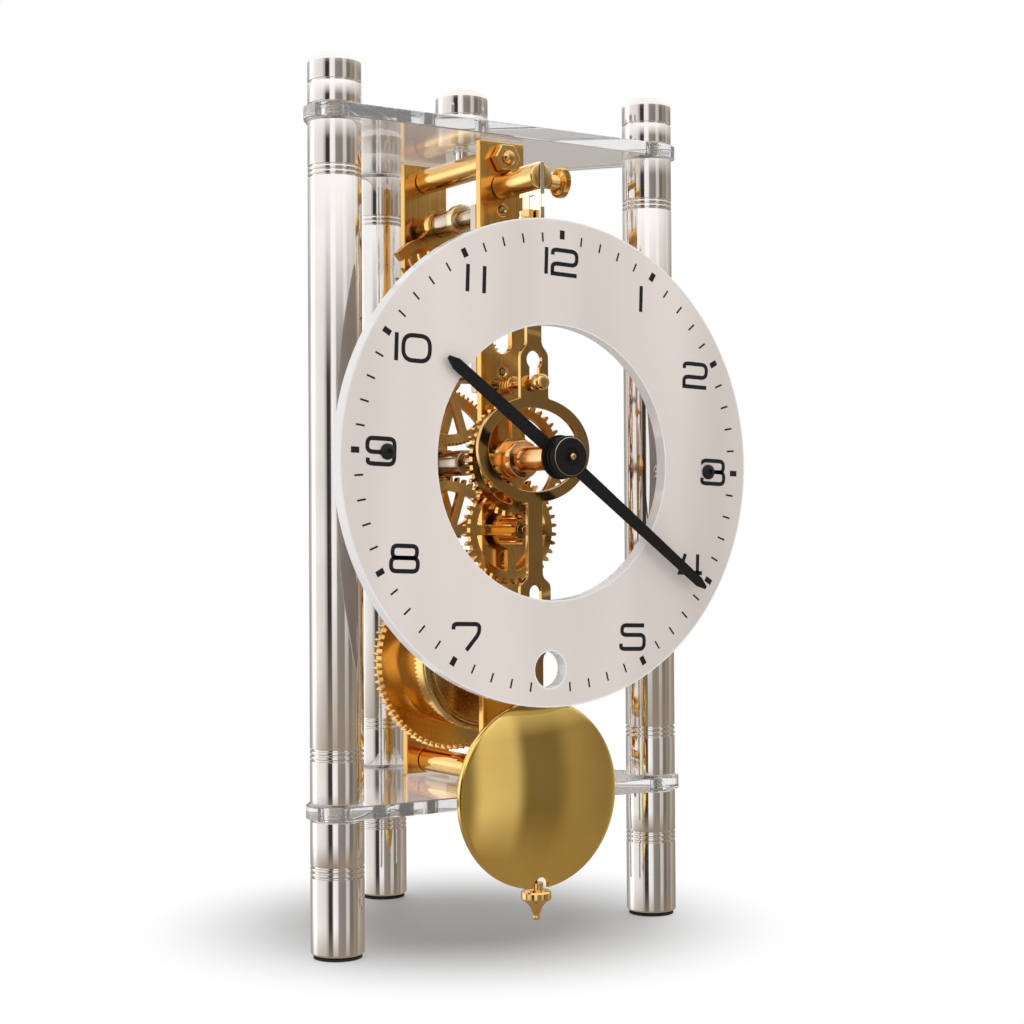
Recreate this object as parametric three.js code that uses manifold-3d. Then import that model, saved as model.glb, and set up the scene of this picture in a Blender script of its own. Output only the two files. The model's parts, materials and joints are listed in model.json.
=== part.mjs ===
// Skeleton mantel clock: three metal columns carry two clear plates, and the plates carry a narrow
// brass movement, a ring-shaped dial and a short pendulum. Millimetres, +X right, +Y back, +Z up.
import * as THREE from 'three';
import { mergeVertices } from 'three/addons/utils/BufferGeometryUtils.js';
import Module from 'manifold-3d';

const wasm = await Module();
wasm.setup();

// ---- Driving dimensions ----------------------------------------------------------------------

const TOTAL_HEIGHT = 200;
const GAP = 0.3; // clearance kept between pieces that touch on the real clock

// Columns stand on a triangle: two at the front, one at the back. Depths count from the front pair.
const COLUMN_RADIUS = 6;
const COLUMN_HALF_SPACING = 43.5;
const BACK_COLUMN_Y = 56.6;
const ROD_RADIUS = 1.9;
const PAD_THICKNESS = 0.6;

// Clear plates
const PLATE_THICKNESS = 3.1;
const PLATE_CORNER_RADIUS = 6.9;
const BOTTOM_PLATE_Z = 30.7;
const TOP_PLATE_Z = 185.3;

// Dial: a clear ring with a satin face, screwed to standoffs on the front columns
const DIAL_FACE_Y = -23.1;
const DIAL_THICKNESS = 3.6;
const DIAL_CENTRE_Z = 109.3;
const DIAL_RADIUS = 54.9;
const DIAL_HOLE_RADIUS = 30.9;
const DIAL_TURN = THREE.MathUtils.degToRad(-2.2);
const SIX_HOLE_DISTANCE = 46.4;
const SIX_HOLE_RADIUS = 4.1;

// Movement plates
const PLATE_WIDTH = 12.2;
const FRONT_PLATE = [-1.5, 0.5];
const BACK_PLATE = [33.6, 35.6];
const PILLAR_RADIUS = 3;
const TOP_PILLAR_Z = 181;
const BOTTOM_PILLAR_Z = 37.3;
const MOVEMENT_SCREW_Y = 16.4;

// Arbor heights, all on the plates' centre line
const BARREL_Z = 63.2;
const INTERMEDIATE_Z = 87.6;
const STUD_Z = 94.2;
const CENTRE_Z = 110.4;
const THIRD_Z = 131.2;
const ESCAPE_Z = 148.6;
const ANCHOR_Z = 169.2;
const PIVOT_RADIUS = 0.6;

// Tooth counts
const TEETH = {
  great: 80, intermediatePinion: 10, intermediate: 60, centrePinion: 10, centre: 84, thirdPinion: 7,
  third: 95, escapePinion: 7, escape: 30, cannon: 12, minute: 36, minutePinion: 10, hour: 40,
};

// Hands
const HOUR_HAND_ANGLE = THREE.MathUtils.degToRad(306.2); // clockwise from 12
const MINUTE_HAND_ANGLE = THREE.MathUtils.degToRad(126.9);
const HOUR_HAND_LENGTH = 36;
const MINUTE_HAND_LENGTH = 50;
const HOUR_HAND_Y = -24.9;
const MINUTE_HAND_Y = -26.6;

// Pendulum
const PENDULUM_Y = -14;
const ROD_THICKNESS = 1.2;
const CRUTCH_PIN_Z = 127.7;
const RING_Z = 112.5;
const BOB_Z = 34.2;
const BOB_RADIUS = 21.4;

// The origin is under the middle of the clock's bounding box.
const FRONT_END_Y = -30.2;
const ORIGIN_SHIFT_Y = -(FRONT_END_Y + BACK_COLUMN_Y + PLATE_CORNER_RADIUS) / 2;

// ---- Materials -------------------------------------------------------------------------------

const finish = (color, metalness, roughness, extra = {}) =>
  new THREE.MeshStandardMaterial({ color, metalness, roughness, ...extra });

const ALUMINIUM = finish(0xc9c3bb, 1, 0.28);
const CLEAR = finish(0xeef4f4, 0, 0.05, { transparent: true, opacity: 0.35 });
const SATIN_DIAL = finish(0xdad5d0, 0.1, 0.45);
const BRASS = finish(0xc08a35, 1, 0.25);
const POLISHED_BRASS = finish(0xd9a847, 1, 0.1);
const COPPER = finish(0xb86a3c, 1, 0.25);
const STEEL = finish(0x8f8c88, 1, 0.25);
const SPRING_STEEL = finish(0x5d6068, 1, 0.35);
const BLACK = finish(0x181817, 0.1, 0.5);
const RUBBER = finish(0x1b1b1b, 0, 0.9);

const clock = new THREE.Group();
clock.position.y = ORIGIN_SHIFT_Y;

function add(name, geometry, material, position = [0, 0, 0]) {
  const mesh = new THREE.Mesh(geometry, material.clone());
  mesh.name = name;
  mesh.position.set(...position);
  clock.add(mesh);
  return mesh;
}

// ---- Shape helpers ---------------------------------------------------------------------------

const TURN = 2 * Math.PI;
const UP = Math.PI / 2;
const DOWN = -Math.PI / 2;

const polar = (radius, angle) => new THREE.Vector2(radius * Math.cos(angle), radius * Math.sin(angle));

// Points on an arc, both ends included; a squeeze below 1 flattens it.
function arc(x, z, radius, from, to, steps, squeeze = 1) {
  return Array.from({ length: steps + 1 }, (_, i) => {
    const { x: dx, y: dz } = polar(radius, from + ((to - from) * i) / steps);
    return new THREE.Vector2(x + dx, z + dz * squeeze);
  });
}

function circle(x, z, radius, steps, squeeze = 1) {
  return arc(x, z, radius, 0, TURN * (1 - 1 / steps), steps - 1, squeeze);
}

function shapeOf(points, holes = []) {
  const shape = new THREE.Shape(points);
  shape.holes = holes.map((hole) => new THREE.Path(hole));
  return shape;
}

const points = (pairs) => pairs.map(([x, z]) => new THREE.Vector2(x, z));

// A flat piece drawn as seen from the front (x right, z up), filling y from front to back.
function slab(shape, frontY, backY) {
  const geometry = new THREE.ExtrudeGeometry(shape, { depth: backY - frontY, bevelEnabled: false });
  return geometry.rotateX(Math.PI / 2).translate(0, backY, 0);
}

// A flat piece drawn in plan (x right, y back), filling z from low to high.
function level(shape, lowZ, highZ) {
  const geometry = new THREE.ExtrudeGeometry(shape, { depth: highZ - lowZ, bevelEnabled: false });
  return geometry.translate(0, 0, lowZ);
}

// A turned piece on the Y axis from [radius, y] pairs, listed from front to back.
function turned(profile, segments = 16) {
  return new THREE.LatheGeometry(points(profile), segments);
}

// A turned piece on the Z axis from [radius, z] pairs, listed from bottom to top.
function upright(profile, segments = 16) {
  return new THREE.LatheGeometry(points(profile), segments).rotateX(Math.PI / 2);
}

function rod(radius, frontY, backY, segments = 12) {
  return turned([[0, frontY], [radius, frontY], [radius, backY], [0, backY]], segments);
}

function solidOf(geometry) {
  const bare = geometry.clone();
  bare.deleteAttribute('normal');
  bare.deleteAttribute('uv');
  const merged = mergeVertices(bare, 1e-4);
  const mesh = new wasm.Mesh({
    numProp: 3,
    vertProperties: new Float32Array(merged.attributes.position.array),
    triVerts: new Uint32Array(merged.index.array),
  });
  return new wasm.Manifold(mesh);
}

function geometryOf(solid) {
  const mesh = solid.getMesh();
  const geometry = new THREE.BufferGeometry();
  geometry.setAttribute('position', new THREE.BufferAttribute(mesh.vertProperties, 3));
  geometry.setIndex(new THREE.BufferAttribute(mesh.triVerts, 1));
  return geometry;
}

const joined = (...parts) => geometryOf(parts.map(solidOf).reduce((a, b) => a.add(b)));
const cut = (body, ...tools) =>
  geometryOf(tools.map(solidOf).reduce((a, b) => a.subtract(b), solidOf(body)));

function box(x0, x1, y0, y1, z0, z1) {
  return new THREE.BoxGeometry(x1 - x0, y1 - y0, z1 - z0)
    .translate((x0 + x1) / 2, (y0 + y1) / 2, (z0 + z1) / 2);
}

function hexagon(acrossFlats) {
  return circle(0, 0, acrossFlats / Math.sqrt(3), 6);
}

// ---- Columns ---------------------------------------------------------------------------------

const COLUMNS = {
  left: [-COLUMN_HALF_SPACING, 0],
  right: [COLUMN_HALF_SPACING, 0],
  back: [0, BACK_COLUMN_Y],
};
const ROD_HOLE_RADIUS = ROD_RADIUS + GAP;
const ROD_END = 6; // how far the threaded rod stops short of the cap's top and the foot's sole
const STANDOFF_STUD_RADIUS = 1.1;
const FOOT_GROOVES_Z = 19.2;
const LOW_GROOVES_Z = 44.9;
const HIGH_GROOVES_Z = 173.8;
const CAP_GROOVE_Z = 193.7;

// Three fine grooves round a column, as profile points going up.
function grooves(centreZ, count = 3) {
  const pitch = 1.1;
  const halfWidth = 0.28;
  const depth = 0.35;
  const lowest = centreZ - ((count - 1) / 2) * pitch;
  return Array.from({ length: count }, (_, i) => lowest + i * pitch).flatMap((z) => [
    [COLUMN_RADIUS, z - halfWidth],
    [COLUMN_RADIUS - depth, z],
    [COLUMN_RADIUS, z + halfWidth],
  ]);
}

function columnFoot() {
  const top = BOTTOM_PLATE_Z - GAP;
  return upright([
    [0, PAD_THICKNESS + GAP], [COLUMN_RADIUS - 0.3, PAD_THICKNESS + GAP], [COLUMN_RADIUS, 1.4],
    ...grooves(FOOT_GROOVES_Z), [COLUMN_RADIUS, top], [ROD_HOLE_RADIUS, top],
    [ROD_HOLE_RADIUS, ROD_END - GAP], [0, ROD_END - GAP],
  ]);
}

function columnTube(hasStandoff, standoffZ) {
  const low = BOTTOM_PLATE_Z + PLATE_THICKNESS + GAP;
  const high = TOP_PLATE_Z - GAP;
  const tube = upright([
    [ROD_HOLE_RADIUS, low], [COLUMN_RADIUS, low], ...grooves(LOW_GROOVES_Z),
    ...grooves(HIGH_GROOVES_Z), [COLUMN_RADIUS, high], [ROD_HOLE_RADIUS, high], [ROD_HOLE_RADIUS, low],
  ]);
  if (!hasStandoff) return tube;
  const studHole = rod(STANDOFF_STUD_RADIUS + GAP, -COLUMN_RADIUS - 1, -ROD_RADIUS);
  return cut(tube, studHole.translate(0, 0, standoffZ));
}

const CAP_LOW_Z = TOP_PLATE_Z + PLATE_THICKNESS + GAP;

// Outside of a cap, going up: a plain drum with one groove and a bevelled top.
function capOutside(radius) {
  return [
    [radius, CAP_LOW_Z], [radius, CAP_GROOVE_Z - 0.3], [radius - 0.35, CAP_GROOVE_Z],
    [radius, CAP_GROOVE_Z + 0.3],
    [radius, 197.8], [radius - 1.1, 199.4], [radius - 2.2, TOTAL_HEIGHT], [0, TOTAL_HEIGHT],
  ];
}

function columnCap() {
  const boreTop = TOTAL_HEIGHT - ROD_END + GAP;
  return upright([
    [ROD_HOLE_RADIUS, CAP_LOW_Z], ...capOutside(COLUMN_RADIUS), [0, boreTop],
    [ROD_HOLE_RADIUS, boreTop], [ROD_HOLE_RADIUS, CAP_LOW_Z],
  ]);
}

function dialFixingZ(side) {
  return DIAL_CENTRE_Z + side * COLUMN_HALF_SPACING * Math.sin(DIAL_TURN);
}

for (const [side, [x, y]] of Object.entries(COLUMNS)) {
  const isFront = side !== 'back';
  add(`foot_pad_${side}`, upright([
    [0, 0], [COLUMN_RADIUS - 0.6, 0], [COLUMN_RADIUS - 0.6, PAD_THICKNESS], [0, PAD_THICKNESS],
  ]), RUBBER, [x, y, 0]);
  add(`column_foot_${side}`, columnFoot(), ALUMINIUM, [x, y, 0]);
  add(`column_tube_${side}`, columnTube(isFront, dialFixingZ(Math.sign(x))), ALUMINIUM, [x, y, 0]);
  add(`column_cap_${side}`, columnCap(), ALUMINIUM, [x, y, 0]);
  add(`column_rod_${side}`, upright([
    [0, ROD_END], [ROD_RADIUS, ROD_END], [ROD_RADIUS, TOTAL_HEIGHT - ROD_END],
    [0, TOTAL_HEIGHT - ROD_END],
  ], 12), STEEL, [x, y, 0]);
}

// ---- Clear plates ----------------------------------------------------------------------------

const MOVEMENT_STUD_RADIUS = 1.6;

// A triangle with round corners about the three columns, drilled for the rods and the movement.
function clearPlate() {
  const slope = Math.atan2(BACK_COLUMN_Y, COLUMN_HALF_SPACING);
  const [left, right, back] = [COLUMNS.left, COLUMNS.right, COLUMNS.back];
  const edge = Math.PI / 2;
  const outline = [
    ...arc(...left, PLATE_CORNER_RADIUS, slope + edge, TURN * 0.75, 10),
    ...arc(...right, PLATE_CORNER_RADIUS, -edge, edge - slope, 10),
    ...arc(...back, PLATE_CORNER_RADIUS, edge - slope, edge + slope, 8),
  ];
  const holes = Object.values(COLUMNS).map(([x, y]) => circle(x, y, ROD_HOLE_RADIUS, 12));
  holes.push(circle(0, MOVEMENT_SCREW_Y, MOVEMENT_STUD_RADIUS + GAP, 12));
  return shapeOf(outline, holes);
}

add('bottom_plate', level(clearPlate(), BOTTOM_PLATE_Z, BOTTOM_PLATE_Z + PLATE_THICKNESS), CLEAR);
add('top_plate', level(clearPlate(), TOP_PLATE_Z, TOP_PLATE_Z + PLATE_THICKNESS), CLEAR);

// ---- Movement plates, pillars and their fixings ----------------------------------------------

const MOVEMENT_LOW_Z = BOTTOM_PLATE_Z + PLATE_THICKNESS + GAP;
const MOVEMENT_HIGH_Z = TOP_PLATE_Z - GAP;
const PILLAR_STUB_RADIUS = 1.6;
const PIVOT_HOLES = [BARREL_Z, INTERMEDIATE_Z, CENTRE_Z, THIRD_Z, ESCAPE_Z, ANCHOR_Z];
const BARREL_BEARING_RADIUS = 2.2;
const CENTRE_BEARING_RADIUS = 1.2;
const CRUTCH_SLOT = { halfWidth: 3.5, halfHeight: 1.5 };
const FRONT_WINDOW = { halfWidth: 2.6, low: 135.4, high: 145.2 };

function bearingRadius(z) {
  if (z === BARREL_Z) return BARREL_BEARING_RADIUS;
  return z === CENTRE_Z ? CENTRE_BEARING_RADIUS : PIVOT_RADIUS;
}

function movementPlate(openings = []) {
  const half = PLATE_WIDTH / 2;
  const outline = points([
    [-half, MOVEMENT_LOW_Z], [half, MOVEMENT_LOW_Z], [half, MOVEMENT_HIGH_Z], [-half, MOVEMENT_HIGH_Z],
  ]);
  const bearings = PIVOT_HOLES.map((z) => circle(0, z, bearingRadius(z) + GAP, 8));
  const stubs = [TOP_PILLAR_Z, BOTTOM_PILLAR_Z].map((z) => circle(0, z, PILLAR_STUB_RADIUS + GAP, 12));
  return shapeOf(outline, [...bearings, ...stubs, ...openings]);
}

// Slot in which the crutch pin swings.
function crutchSlot() {
  const { halfWidth, halfHeight } = CRUTCH_SLOT;
  const offset = halfWidth - halfHeight;
  return [
    ...arc(offset, CRUTCH_PIN_Z, halfHeight, DOWN, UP, 6),
    ...arc(-offset, CRUTCH_PIN_Z, halfHeight, UP, UP + Math.PI, 6),
  ];
}

function frontWindow() {
  const { halfWidth, low, high } = FRONT_WINDOW;
  return [
    ...arc(0, high - halfWidth, halfWidth, 0, Math.PI, 8),
    ...arc(0, low + halfWidth, halfWidth, Math.PI, TURN, 8),
  ];
}

const STUD_RADIUS = 0.9;
const STUD_FRONT_Y = -10.4;

// The front plate also carries the stud that the minute wheel turns on.
function frontMovementPlate() {
  const [front, back] = FRONT_PLATE;
  const plate = slab(movementPlate([crutchSlot(), frontWindow()]), front, back);
  const stud = rod(STUD_RADIUS, STUD_FRONT_Y, front + 0.5).translate(0, 0, STUD_Z);
  return joined(plate, stud);
}

add('front_movement_plate', frontMovementPlate(), BRASS);
add('back_movement_plate', slab(movementPlate(), ...BACK_PLATE), BRASS);

const NUT_THICKNESS = 2.4;
const NUT_ACROSS_FLATS = 6;
const NUT_FRONT_Y = FRONT_PLATE[0] - GAP - NUT_THICKNESS;

// A pillar between the plates with a stub through each, cross-drilled for the movement's screw.
function pillar(z, holeFromZ, holeToZ) {
  const body = turned([
    [0, NUT_FRONT_Y - 1.2], [0.9, NUT_FRONT_Y - 1.2], [PILLAR_STUB_RADIUS, NUT_FRONT_Y - 0.5],
    [PILLAR_STUB_RADIUS, FRONT_PLATE[1] + GAP], [PILLAR_RADIUS, FRONT_PLATE[1] + GAP],
    [PILLAR_RADIUS, BACK_PLATE[0] - GAP], [PILLAR_STUB_RADIUS, BACK_PLATE[0] - GAP],
    [PILLAR_STUB_RADIUS, BACK_PLATE[1] + 0.6], [0, BACK_PLATE[1] + 0.6],
  ], 14).translate(0, 0, z);
  const hole = upright([
    [0, holeFromZ], [MOVEMENT_STUD_RADIUS + GAP, holeFromZ], [MOVEMENT_STUD_RADIUS + GAP, holeToZ],
    [0, holeToZ],
  ], 12).translate(0, MOVEMENT_SCREW_Y, 0);
  return cut(body, hole);
}

function pillarNut(z) {
  const shape = shapeOf(hexagon(NUT_ACROSS_FLATS), [circle(0, 0, PILLAR_STUB_RADIUS + GAP, 12)]);
  return slab(shape, NUT_FRONT_Y, FRONT_PLATE[0] - GAP).translate(0, 0, z);
}

add('top_pillar', pillar(TOP_PILLAR_Z, TOP_PILLAR_Z - 1.5, TOP_PILLAR_Z + 4), BRASS);
add('bottom_pillar', pillar(BOTTOM_PILLAR_Z, BOTTOM_PILLAR_Z - 4, BOTTOM_PILLAR_Z + 1.5), BRASS);
add('pillar_nut_top', pillarNut(TOP_PILLAR_Z), BRASS);
add('pillar_nut_bottom', pillarNut(BOTTOM_PILLAR_Z), BRASS);

// The cap in the middle of the top plate screws into the top pillar.
function movementCap() {
  const studLow = TOP_PILLAR_Z - 1;
  return upright([
    [0, studLow], [MOVEMENT_STUD_RADIUS, studLow], [MOVEMENT_STUD_RADIUS, CAP_LOW_Z],
    ...capOutside(COLUMN_RADIUS + 0.3),
  ]);
}

function movementScrew() {
  const headTop = BOTTOM_PLATE_Z - GAP;
  return upright([
    [0, headTop - 3], [3.6, headTop - 3], [4.5, headTop - 2.2], [4.5, headTop],
    [MOVEMENT_STUD_RADIUS, headTop], [MOVEMENT_STUD_RADIUS, BOTTOM_PILLAR_Z + 1],
    [0, BOTTOM_PILLAR_Z + 1],
  ], 16);
}

add('movement_cap', movementCap(), ALUMINIUM, [0, MOVEMENT_SCREW_Y, 0]);
add('movement_screw', movementScrew(), STEEL, [0, MOVEMENT_SCREW_Y, 0]);

// ---- Dial and its fixings --------------------------------------------------------------------

const DIAL_SCREW_RADIUS = 0.8;
const DIAL_BACK_Y = DIAL_FACE_Y + DIAL_THICKNESS;
const STANDOFF_RADIUS = 3;

function dial() {
  const screwHoles = [-1, 1].map((side) =>
    circle(side * COLUMN_HALF_SPACING, 0, DIAL_SCREW_RADIUS + GAP, 8));
  const shape = shapeOf(circle(0, 0, DIAL_RADIUS, 64), [
    circle(0, 0, DIAL_HOLE_RADIUS, 40),
    circle(0, -SIX_HOLE_DISTANCE, SIX_HOLE_RADIUS, 16),
    ...screwHoles,
  ]);
  return slab(shape, DIAL_FACE_Y, DIAL_BACK_Y).rotateY(-DIAL_TURN);
}

// Column end has a stud into the column; dial end is bored for the dial screw.
function standoff() {
  const columnEnd = -COLUMN_RADIUS - GAP;
  const dialEnd = DIAL_BACK_Y + GAP;
  return turned([
    [DIAL_SCREW_RADIUS + GAP, dialEnd], [STANDOFF_RADIUS, dialEnd], [STANDOFF_RADIUS, columnEnd],
    [STANDOFF_STUD_RADIUS, columnEnd], [STANDOFF_STUD_RADIUS, -ROD_HOLE_RADIUS],
    [0, -ROD_HOLE_RADIUS], [0, dialEnd + 6], [DIAL_SCREW_RADIUS + GAP, dialEnd + 6],
    [DIAL_SCREW_RADIUS + GAP, dialEnd],
  ], 16);
}

function dialScrew() {
  const headBack = DIAL_FACE_Y - 0.1;
  return turned([
    [0, headBack - 0.9], [0.9, headBack - 0.9], [1.35, headBack - 0.5], [1.35, headBack],
    [DIAL_SCREW_RADIUS, headBack], [DIAL_SCREW_RADIUS, DIAL_BACK_Y + 5], [0, DIAL_BACK_Y + 5],
  ], 12);
}

add('dial', dial(), SATIN_DIAL, [0, 0, DIAL_CENTRE_Z]);
for (const [side, sign] of [['left', -1], ['right', 1]]) {
  const place = [sign * COLUMN_HALF_SPACING, 0, dialFixingZ(sign)];
  add(`dial_standoff_${side}`, standoff(), ALUMINIUM, place);
  add(`dial_screw_${side}`, dialScrew(), BLACK, place);
}

// ---- Gears -----------------------------------------------------------------------------------

// Pitch radius of the gear with `teeth` when it meshes with `mate` teeth at this centre distance.
const pitchRadius = (teeth, mate, distance) => (distance * teeth) / (teeth + mate);

// Tooth outline. One tooth's centre stands at the angle `phase`; shares are of one tooth pitch.
function teethOutline({ teeth, radius, addendum, dedendum, rootShare, tipShare, phase }) {
  const step = TURN / teeth;
  const outline = [];
  for (let i = 0; i < teeth; i += 1) {
    const centre = phase + i * step;
    const corners = [[radius - dedendum, -rootShare / 2], [radius + addendum, -tipShare / 2]];
    if (tipShare > 0) corners.push([radius + addendum, tipShare / 2]);
    if (rootShare < 1) corners.push([radius - dedendum, rootShare / 2]);
    outline.push(...corners.map(([r, share]) => polar(r, centre + share * step)));
  }
  return outline;
}

// A wheel's pointed teeth, and a pinion's blunt leaves that run between them.
function wheelTeeth(teeth, radius, phase) {
  const module = (2 * radius) / teeth;
  return teethOutline({
    teeth, radius, phase, addendum: 0.85 * module, dedendum: 1.15 * module, rootShare: 1, tipShare: 0,
  });
}

function pinionLeaves(teeth, radius, phase) {
  const module = (2 * radius) / teeth;
  return teethOutline({
    teeth, radius, phase, addendum: 0.5 * module, dedendum: 1.2 * module, rootShare: 0.4, tipShare: 0.16,
  });
}

// Openings between a wheel's spokes: each is bounded by the hub, the rim and two straight spokes.
function crossings(count, hubRadius, rimRadius, spokeWidth) {
  return Array.from({ length: count }, (_, i) => {
    const middle = (TURN * (i + 0.5)) / count;
    const outer = Math.PI / count - Math.asin(spokeWidth / 2 / rimRadius);
    const inner = Math.PI / count - Math.asin(spokeWidth / 2 / hubRadius);
    return [
      ...arc(0, 0, rimRadius, middle - outer, middle + outer, 4),
      ...arc(0, 0, hubRadius, middle + inner, middle - inner, 1),
    ];
  });
}

function wheel(outline, holeRadius, frontY, thickness, openings = []) {
  const holes = [circle(0, 0, holeRadius, 10), ...openings];
  return slab(shapeOf(outline, holes), frontY, frontY + thickness);
}

// ---- Going train -----------------------------------------------------------------------------

const GREAT_WHEEL_Y = 19.6;
const GREAT_WHEEL_THICKNESS = 2.8;
const DRUM_RADIUS = 16.4;
const DRUM_FRONT_Y = 8.4;
const WINDING_RADIUS = 2.9;
const SPRING_INNER_RADIUS = 4;
const SPRING_OUTER_RADIUS = 14.6;
const SPRING_TURNS = 4;

// The barrel is a cup: toothed base at the back, open front.
function barrel() {
  const pitch = pitchRadius(TEETH.great, TEETH.intermediatePinion, INTERMEDIATE_Z - BARREL_Z);
  const base = wheel(wheelTeeth(TEETH.great, pitch, UP), WINDING_RADIUS + GAP, GREAT_WHEEL_Y,
    GREAT_WHEEL_THICKNESS);
  const innerRadius = DRUM_RADIUS - 1.1;
  const wall = slab(shapeOf(circle(0, 0, DRUM_RADIUS, 28), [circle(0, 0, innerRadius, 28)]),
    DRUM_FRONT_Y, GREAT_WHEEL_Y + 0.5);
  return joined(base, wall);
}

function barrelCap() {
  const capBack = DRUM_FRONT_Y - GAP;
  return turned([
    [WINDING_RADIUS + GAP, capBack - 1.2], [DRUM_RADIUS - 0.6, capBack - 1.2],
    [DRUM_RADIUS, capBack - 0.6], [DRUM_RADIUS, capBack], [WINDING_RADIUS + GAP, capBack],
    [WINDING_RADIUS + GAP, capBack - 1.2],
  ], 28);
}

// Spiral strip seen from the front: the outer edge outwards, then the inner edge back.
function mainspring() {
  const strip = 0.45;
  const steps = SPRING_TURNS * 10;
  const spiral = (inset) => Array.from({ length: steps + 1 }, (_, i) => {
    const t = i / steps;
    const r = SPRING_INNER_RADIUS + (SPRING_OUTER_RADIUS - SPRING_INNER_RADIUS) * t - inset;
    return polar(r, TURN * SPRING_TURNS * t);
  });
  const outline = [...spiral(0), ...spiral(strip).reverse()];
  return slab(shapeOf(outline), DRUM_FRONT_Y + 0.8, GREAT_WHEEL_Y - 0.6);
}

const RATCHET_Y = BACK_PLATE[1] + 0.5;
const RATCHET_THICKNESS = 1.4;
const RATCHET_RADIUS = 4.7;
const RATCHET_TEETH = 18;
const WINDING_END_Y = 46;

// Runs through the barrel and both plates to a square end behind the clock for the key.
function windingArbor() {
  const body = turned([
    [0, FRONT_PLATE[0] - 0.8], [BARREL_BEARING_RADIUS, FRONT_PLATE[0] - 0.8],
    [BARREL_BEARING_RADIUS, FRONT_PLATE[1] + GAP], [WINDING_RADIUS, FRONT_PLATE[1] + GAP],
    [WINDING_RADIUS, BACK_PLATE[0] - GAP], [BARREL_BEARING_RADIUS, BACK_PLATE[0] - GAP],
    [BARREL_BEARING_RADIUS, RATCHET_Y + RATCHET_THICKNESS + 1],
    [0, RATCHET_Y + RATCHET_THICKNESS + 1],
  ], 16);
  const half = 1.5;
  return joined(body, box(-half, half, RATCHET_Y, WINDING_END_Y, -half, half));
}

function ratchetWheel() {
  const step = TURN / RATCHET_TEETH;
  const outline = [];
  for (let i = 0; i < RATCHET_TEETH; i += 1) {
    outline.push(polar(RATCHET_RADIUS - 0.8, i * step), polar(RATCHET_RADIUS, (i + 0.9) * step));
  }
  return wheel(outline, BARREL_BEARING_RADIUS + GAP, RATCHET_Y, RATCHET_THICKNESS);
}

const CLICK_PIVOT = [2.2, 74.4];

// Beak that stands just clear of the ratchet wheel, on a shouldered screw.
function click() {
  const [x, z] = CLICK_PIVOT;
  const beak = BARREL_Z + RATCHET_RADIUS + GAP;
  const outline = points([
    [x - 2, z - 1.2], [x - 3.4, beak + 1.4], [x - 1.6, beak + 0.25], [x + 0.3, beak + 2.4],
    [x + 2, z - 0.6], [x + 1.8, z + 1.3], [x, z + 2], [x - 1.8, z + 1.2],
  ]);
  const lever = slab(shapeOf(outline), RATCHET_Y, RATCHET_Y + RATCHET_THICKNESS);
  const screwHead = rod(1.5, RATCHET_Y + RATCHET_THICKNESS - 0.4, RATCHET_Y + RATCHET_THICKNESS + 0.9);
  return joined(lever, screwHead.translate(x, 0, z));
}

add('barrel', barrel(), BRASS, [0, 0, BARREL_Z]);
add('barrel_cap', barrelCap(), BRASS, [0, 0, BARREL_Z]);
add('mainspring', mainspring(), SPRING_STEEL, [0, 0, BARREL_Z]);
add('winding_arbor', windingArbor(), STEEL, [0, 0, BARREL_Z]);
add('ratchet_wheel', ratchetWheel(), STEEL, [0, 0, BARREL_Z]);
add('click', click(), STEEL);

const WHEEL_THICKNESS = 1.5;
const INTERMEDIATE_WHEEL_Y = 25.2;
const CENTRE_WHEEL_Y = 29.3;
const THIRD_WHEEL_Y = 22.9;
const ESCAPE_WHEEL_Y = 26.4;
const ARBOR_RADIUS = 1;
const FRONT_PIVOT_Y = FRONT_PLATE[0] + 0.3;
const BACK_PIVOT_Y = BACK_PLATE[1] - 0.3;

// An arbor with fine pivots in the plates and a leaved pinion cut on it.
function pinionArbor(leaves, pinionFront, pinionBack, radius = ARBOR_RADIUS) {
  const arbor = turned([
    [0, FRONT_PIVOT_Y], [PIVOT_RADIUS, FRONT_PIVOT_Y], [PIVOT_RADIUS, FRONT_PLATE[1] + GAP],
    [radius, FRONT_PLATE[1] + GAP], [radius, BACK_PLATE[0] - GAP],
    [PIVOT_RADIUS, BACK_PLATE[0] - GAP], [PIVOT_RADIUS, BACK_PIVOT_Y], [0, BACK_PIVOT_Y],
  ], 10);
  return joined(arbor, slab(shapeOf(leaves), pinionFront, pinionBack));
}

const GREAT_DISTANCE = INTERMEDIATE_Z - BARREL_Z;
const INTERMEDIATE_DISTANCE = CENTRE_Z - INTERMEDIATE_Z;
const CENTRE_DISTANCE = THIRD_Z - CENTRE_Z;
const THIRD_DISTANCE = ESCAPE_Z - THIRD_Z;

// A pinion's gap faces down towards the wheel below it, whose tooth points up.
const gapFacing = (direction, teeth) => direction + Math.PI / teeth;

function trainWheel(teeth, mate, distance, frontY, thickness, hub, rim, spokes) {
  const radius = pitchRadius(teeth, mate, distance);
  return wheel(wheelTeeth(teeth, radius, UP), ARBOR_RADIUS + GAP, frontY, thickness,
    crossings(spokes, hub, radius - rim, 2));
}

function trainPinion(teeth, mate, distance) {
  return pinionLeaves(teeth, pitchRadius(teeth, mate, distance), gapFacing(DOWN, teeth));
}

add('intermediate_wheel', trainWheel(TEETH.intermediate, TEETH.centrePinion, INTERMEDIATE_DISTANCE,
  INTERMEDIATE_WHEEL_Y, WHEEL_THICKNESS, 4.6, 3.2, 5), BRASS, [0, 0, INTERMEDIATE_Z]);
add('intermediate_arbor', pinionArbor(
  trainPinion(TEETH.intermediatePinion, TEETH.great, GREAT_DISTANCE), 18.4, 23.6,
), STEEL, [0, 0, INTERMEDIATE_Z]);

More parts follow.
